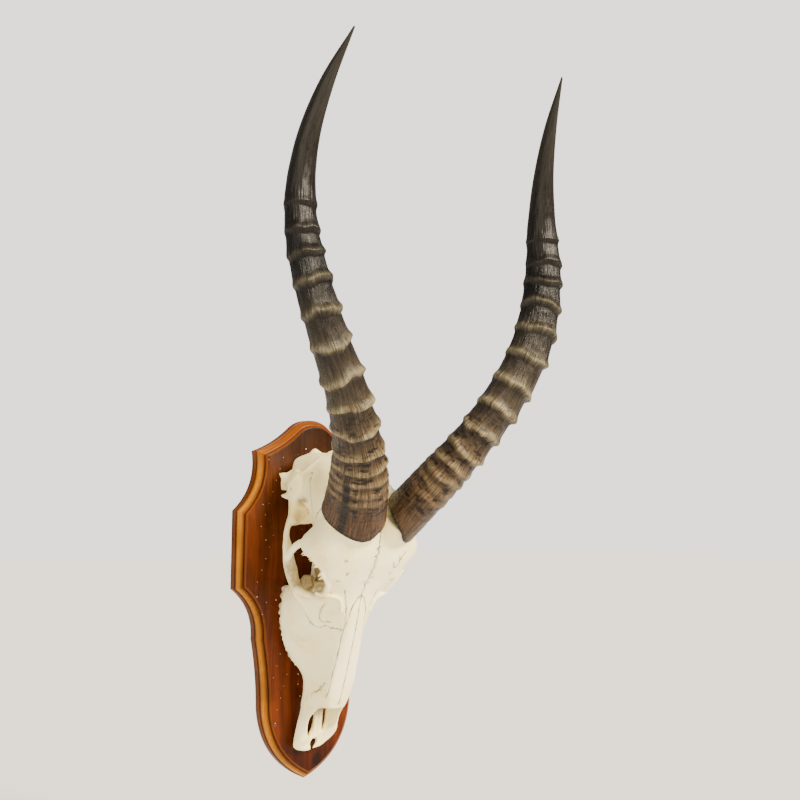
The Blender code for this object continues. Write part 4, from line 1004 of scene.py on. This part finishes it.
def varnished_pine():
    """Knotty pine, stained red-brown, its routed round gold, under worn oil varnish."""
    material, tree, shader = start_material("varnished pine")
    place = add(tree, "TexCoord", output="Object")
    parts = add(tree, "SeparateXYZ", {"Vector": place}).node.outputs
    height = add(tree, "MapRange", {"Value": parts["Z"], "From Min": STAIN_LOW, "From Max": STAIN_HIGH})
    field = add(tree, "ValToRGB", {"Fac": height}, stops=FIELD_TONES)
    # Growth rings lie 5 to 12 mm apart on the face and waver as they run up the board. Its fibres are about
    # 1 mm wide and 45 mm long, and its stain took in blotches of about 40 mm.
    slow = add(tree, "Mapping", {"Vector": place, "Scale": (20, 20, 6)})
    waver = add(tree, "TexNoise", {"Vector": slow, "Scale": 1.0, "Detail": 2.0})
    aside = add(tree, "Math", {0: waver, 1: 0.03}, operation="MULTIPLY")
    bent = add(tree, "VectorMath", {0: place, 1: add(tree, "CombineXYZ", {"X": aside})}, operation="ADD")
    wide = add(tree, "Mapping", {"Vector": bent, "Scale": (110, 110, 3)})
    rings = add(tree, "TexNoise", {"Vector": wide, "Scale": 1.0, "Detail": 2.0, "Roughness": 0.6})
    thin = add(tree, "Mapping", {"Vector": bent, "Scale": (900, 900, 22)})
    fibres = add(tree, "TexNoise", {"Vector": thin, "Scale": 1.0, "Detail": 3.0})
    blotch = add(tree, "TexNoise", {"Vector": place, "Scale": 24.0, "Detail": 3.0})
    for pattern, stops in ((rings, ((0.34, 0.68), (0.66, 1.2))), (fibres, ((0.3, 0.72), (0.7, 1.25))),
                           (blotch, ((0.3, 0.72), (0.7, 1.3)))):
        shade = add(tree, "ValToRGB", {"Fac": pattern}, stops=stops)
        field = add(tree, "Mix", {0: 1.0, 6: field, 7: shade}, **SHADED)
    for spot, stretch, size, dark in WOOD_MARKS:
        uneven = add(tree, "Math", {0: blotch, 1: 0.012}, operation="MULTIPLY")
        gap = add(tree, "Math", {0: distance_from(tree, place, spot, stretch), 1: uneven}, operation="ADD")
        mark = add(tree, "MapRange", {"Value": gap, "From Min": size, "From Max": size + 0.005,
                                      "To Min": dark, "To Max": 0.0})
        field = add(tree, "Mix", {0: mark, 6: field, 7: linear("#140501")}, **BLENDED)
    depth = add(tree, "MapRange", {"Value": parts["Y"], "From Min": -SHIELD_THICK * MM, "From Max": 0.0})
    edge = add(tree, "ValToRGB", {"Fac": depth}, stops=EDGE_TONES)
    for pattern, stops in ((fibres, ((0.3, 0.75), (0.7, 1.2))), (blotch, ((0.3, 0.7), (0.65, 1.15)))):
        shade = add(tree, "ValToRGB", {"Fac": pattern}, stops=stops)
        edge = add(tree, "Mix", {0: 1.0, 6: edge, 7: shade}, **SHADED)
    # Painted shade: the gold is drawn darker on the shield's top, where the moulding faces up, but not on its
    # back.
    top_shade = add(tree, "ValToRGB", {"Fac": height}, stops=((0.86, 0.0), (0.93, 0.75)))
    off_back = add(tree, "ValToRGB", {"Fac": depth}, stops=((0.9, 1.0), (0.97, 0.0)))
    top_shade = add(tree, "Math", {0: top_shade, 1: off_back}, operation="MULTIPLY")
    edge = add(tree, "Mix", {0: top_shade, 6: edge, 7: linear("#6E340A")}, **BLENDED)
    on_edge = add(tree, "ValToRGB", {"Fac": depth}, stops=((0.004, 0.0), (0.03, 1.0)))
    set_inputs(tree, shader, {
        "Base Color": add(tree, "Mix", {0: on_edge, 6: field, 7: edge}, **BLENDED),
        "Roughness": add(tree, "MapRange", {"Value": blotch, "From Min": 0.3, "From Max": 0.7,
                                            "To Min": 0.22, "To Max": 0.4}),
        "Specular IOR Level": 0.12,
        "Normal": add(tree, "Bump", {"Height": fibres, "Strength": 0.2, "Distance": 0.0004}),
    })
    return material


def bleached_bone():
    """Dry bone, boiled and bleached: warm ivory on open faces, tan stains and painted shade in hollows, brown
    grease in its seams.
    """
    material, tree, shader = start_material("bleached bone")
    place = add(tree, "TexCoord", output="Object")
    # The ivory drifts over about 40 mm.
    cloud = add(tree, "TexNoise", {"Vector": place, "Scale": 26.0, "Detail": 5.0, "Roughness": 0.6})
    colour = add(tree, "ValToRGB", {"Fac": cloud}, stops=IVORY_TONES)
    # Grease, old skin and painted shade, broken up by a noise of about 4 mm, so that no stain has a smooth
    # edge.
    mottle = add(tree, "TexNoise", {"Vector": place, "Scale": 260.0, "Detail": 4.0, "Roughness": 0.65})
    broken = add(tree, "MapRange", {"Value": mottle, "From Min": 0.32, "From Max": 0.62,
                                    "To Min": 0.45, "To Max": 1.25})
    # The bone is drawn yellower on the temples, the sides of the braincase and the eye sockets.
    yellow = add(tree, "Attribute", output="Fac", attribute_name="yellow")
    colour = add(tree, "Mix", {0: yellow, 6: colour, 7: linear("#E3CC80")}, **BLENDED)
    tan = add(tree, "ValToRGB", {"Fac": mottle}, stops=TAN_STAIN_AND_SHADE_TONES)
    # Tan stains and painted shade in the hollows, then brown grease in the seams.
    for layer, tone in (("stain_and_shade", tan), ("seam", linear("#3A2410"))):
        marked = add(tree, "Attribute", output="Fac", attribute_name=layer)
        share = add(tree, "Math", {0: marked, 1: broken}, operation="MULTIPLY", use_clamp=True)
        colour = add(tree, "Mix", {0: share, 6: colour, 7: tone}, **BLENDED)
    # Pores lie about 1 mm apart, coarser than real ones so that they show.
    pores = add(tree, "TexNoise", {"Vector": place, "Scale": 900.0, "Detail": 3.0})
    grain = add(tree, "Bump", {"Height": pores, "Strength": 0.25, "Distance": 0.0003})
    set_inputs(tree, shader, {
        "Base Color": colour,
        "Roughness": add(tree, "MapRange", {"Value": cloud, "From Min": 0.3, "From Max": 0.7,
                                            "To Min": 0.42, "To Max": 0.62}),
        "Specular IOR Level": 0.35,
        "Normal": add(tree, "Bump", {"Height": mottle, "Strength": 0.3, "Distance": 0.0006, "Normal": grain}),
    })
    return material


def tooth_enamel():
    """Worn enamel: ivory to tan, darker between its ridges, and smoother than the bone."""
    material, tree, shader = start_material("tooth enamel")
    # Ridges about 2 mm apart run from the root to the chewing face.
    ridges = add(tree, "Mapping", {"Vector": add(tree, "TexCoord", output="Object"), "Scale": (500, 60, 500)})
    cloud = add(tree, "TexNoise", {"Vector": ridges, "Scale": 1.0, "Detail": 3.0})
    colour = add(tree, "ValToRGB", {"Fac": cloud}, stops=ENAMEL_TONES)
    set_inputs(tree, shader, {"Base Color": colour, "Roughness": 0.35})
    return material


def horn_keratin(side):
    """Horn: brown and pitted at its base, tan on worn ring crests, dark between them, partly as painted
    shade, black at its tip.
    """
    material, tree, shader = start_material("horn keratin " + ("right" if side > 0 else "left"))
    place = add(tree, "Attribute", output="Vector", attribute_name="horn_place")
    crest = add(tree, "Attribute", output="Fac", attribute_name="crest")
    rise = add(tree, "Attribute", output="Fac", attribute_name="rise")
    along = add(tree, "SeparateXYZ", {"Vector": place}, output="Z")
    share = add(tree, "MapRange", {"Value": along, "From Min": 0.0, "From Max": HORN_LENGTH})
    # Fibres about 0.8 mm wide run up the horn, a little coarser than real ones so that they show.
    thin = add(tree, "Mapping", {"Vector": place, "Scale": (1150, 1150, 60)})
    fibres = add(tree, "TexNoise", {"Vector": thin, "Scale": 1.0, "Detail": 3.0, "Roughness": 0.6})
    cloud = add(tree, "TexNoise", {"Vector": place, "Scale": 150.0, "Detail": 5.0})
    # The right sheath's base is greyer than the left's.
    base = ((0.0, "#42311F" if side > 0 else "#432D1A"),)
    hollow = add(tree, "ValToRGB", {"Fac": share}, stops=base + HOLLOW_AND_SHADE_TONES)
    swell = add(tree, "ValToRGB", {"Fac": share}, stops=SWELL_TONES)
    worn = add(tree, "ValToRGB", {"Fac": share}, stops=WORN_TONES)
    # Painted shade in part: between the rings the horn is drawn darker than on them.
    colour = add(tree, "Mix", {0: rise, 6: hollow, 7: swell}, **BLENDED)
    patchy = add(tree, "MapRange", {"Value": cloud, "From Min": 0.3, "From Max": 0.55,
                                    "To Min": 0.0, "To Max": 0.75})
    wear = add(tree, "Math", {0: crest, 1: patchy}, operation="MULTIPLY")
    colour = add(tree, "Mix", {0: wear, 6: colour, 7: worn}, **BLENDED)
    stripes = add(tree, "ValToRGB", {"Fac": fibres}, stops=((0.34, 0.3), (0.5, 0.95), (0.66, 1.75)))
    colour = add(tree, "Mix", {0: 1.0, 6: colour, 7: stripes}, **SHADED)
    # Dark pits, about 7 mm round the horn and 3 mm along it, between the rings near its base.
    short = add(tree, "Mapping", {"Vector": place, "Scale": (140, 140, 300)})
    flecks = add(tree, "TexNoise", {"Vector": short, "Scale": 1.0, "Detail": 3.0})
    spots = add(tree, "ValToRGB", {"Fac": flecks}, stops=((0.5, 0.0), (0.62, 0.95)))
    for limit, stops in ((share, ((0.03, 0.0), (0.06, 1.0), (0.24, 0.9), (0.36, 0.0))),
                         (rise, ((0.6, 1.0), (0.97, 0.15)))):
        here = add(tree, "ValToRGB", {"Fac": limit}, stops=stops)
        spots = add(tree, "Math", {0: spots, 1: here}, operation="MULTIPLY")
    colour = add(tree, "Mix", {0: spots, 6: colour, 7: linear("#0E0805")}, **BLENDED)
    if side < 0:
        # The left sheath has a dark streak that climbs from its rim over the close rings.
        gap = distance_from(tree, place, STREAK_PLACE, (1.0, 1.0, 0.0))
        dark = add(tree, "MapRange", {"Value": gap, "From Min": 0.0017, "From Max": 0.0036,
                                      "To Min": 0.92, "To Max": 0.0})
        low_down = add(tree, "ValToRGB", {"Fac": share}, stops=((0.12, 1.0), (0.18, 0.0)))
        streak = add(tree, "Math", {0: dark, 1: low_down}, operation="MULTIPLY")
        colour = add(tree, "Mix", {0: streak, 6: colour, 7: linear("#0A0604")}, **BLENDED)
    rim = add(tree, "ValToRGB", {"Fac": share}, stops=((0.002, 1.0), (0.008, 0.0)))
    grooved = add(tree, "ValToRGB", {"Fac": share}, stops=((0.5, 1.0), (0.68, 0.3), (0.85, 0.06)))
    set_inputs(tree, shader, {
        "Base Color": add(tree, "Mix", {0: rim, 6: colour, 7: linear("#14110A")}, **BLENDED),
        "Roughness": add(tree, "MapRange", {"Value": cloud, "From Min": 0.3, "From Max": 0.7,
                                            "To Min": 0.2, "To Max": 0.42}),
        "Specular IOR Level": 0.17,
        "Normal": add(tree, "Bump", {"Height": fibres, "Strength": grooved, "Distance": 0.0009}),
    })
    return material


def plain_cloud(name, scale, detail, stops, roughness):
    """A finish whose colour drifts between two tones, with so many patches to the metre."""
    material, tree, shader = start_material(name)
    place = add(tree, "TexCoord", output="Object")
    cloud = add(tree, "TexNoise", {"Vector": place, "Scale": scale, "Detail": detail})
    colour = add(tree, "ValToRGB", {"Fac": cloud}, stops=stops)
    set_inputs(tree, shader, {"Base Color": colour, "Roughness": roughness})
    return material


def white_dust():
    """Lint and plaster dust: small, matt and off-white."""
    return plain_cloud("white dust", 900.0, 2.0, ((0.3, "#B09A80"), (0.7, "#E8DCC8")), 0.9)


def filler_wax():
    """Brown filler wax over a sunk nail: darker than the board and polished to a shine."""
    return plain_cloud("filler wax", 700.0, 3.0, ((0.3, "#2A0E04"), (0.7, "#5A2A10")), 0.18)


def floor_under():
    """A pale floor well below the mount."""
    material, tree, shader = start_material("pale floor")
    set_inputs(tree, shader, {"Base Color": linear("#F6F6F8"), "Roughness": 0.9})
    bm = bmesh.new()
    bmesh.ops.create_grid(bm, x_segments=1, y_segments=1, size=FLOOR_SIZE)
    bmesh.ops.translate(bm, vec=(0, 0, FLOOR_Z), verts=bm.verts)
    mesh = bpy.data.meshes.new("floor")
    bm.to_mesh(mesh)
    bm.free()
    add_object("floor", mesh, material)


def soft_light():
    """A pale room and two wide suns. The room looks brighter behind the mount than it shines on it."""
    world = bpy.data.worlds.new("soft room")
    bpy.context.scene.world = world
    world.use_nodes = True
    tree = world.node_tree
    seen = add(tree, "LightPath", output="Is Camera Ray")
    light = add(tree, "MapRange", {"Value": seen, "To Min": ROOM_LIGHT, "To Max": BACKGROUND_LIGHT})
    set_inputs(tree, tree.nodes["Background"], {"Color": linear("#FFFBF5"), "Strength": light})
    for name, way, width, strength, colour in SUNS:
        lamp = bpy.data.lights.new(name, "SUN")
        lamp.angle = math.radians(width)
        lamp.energy = strength
        lamp.color = linear(colour)[:3]
        item = add_object(name, lamp)
        item.matrix_world = Vector(way).to_track_quat("-Z", "Y").to_matrix().to_4x4()


def camera_on_the_left():
    """The camera stands low on the mount's left and looks a little up at it."""
    camera = bpy.data.cameras.new("camera")
    camera.lens = CAMERA_LENS
    camera.sensor_width = CAMERA_FILM
    yaw, pitch, roll = (math.radians(angle) for angle in CAMERA_TURNS)
    ahead = Vector((math.sin(yaw) * math.cos(pitch), math.cos(yaw) * math.cos(pitch), math.sin(pitch)))
    right = Vector((math.cos(yaw), -math.sin(yaw), 0.0))
    up = right.cross(ahead)
    turned_right = right * math.cos(roll) + up * math.sin(roll)
    turned_up = up * math.cos(roll) - right * math.sin(roll)
    item = add_object("camera", camera)
    axes = Matrix((turned_right, turned_up, -ahead)).transposed().to_4x4()
    item.matrix_world = Matrix.Translation(CAMERA_PLACE) @ axes
    bpy.context.scene.camera = item


def main():
    plaque()
    filler_plug()
    dust_specks()
    horn("left_horn_sheath", "horn_left", -1, 0.4)
    horn("right_horn_sheath", "horn_right", 1, 2.3)
    teeth()
    skull()
    floor_under()
    soft_light()
    camera_on_the_left()


main()
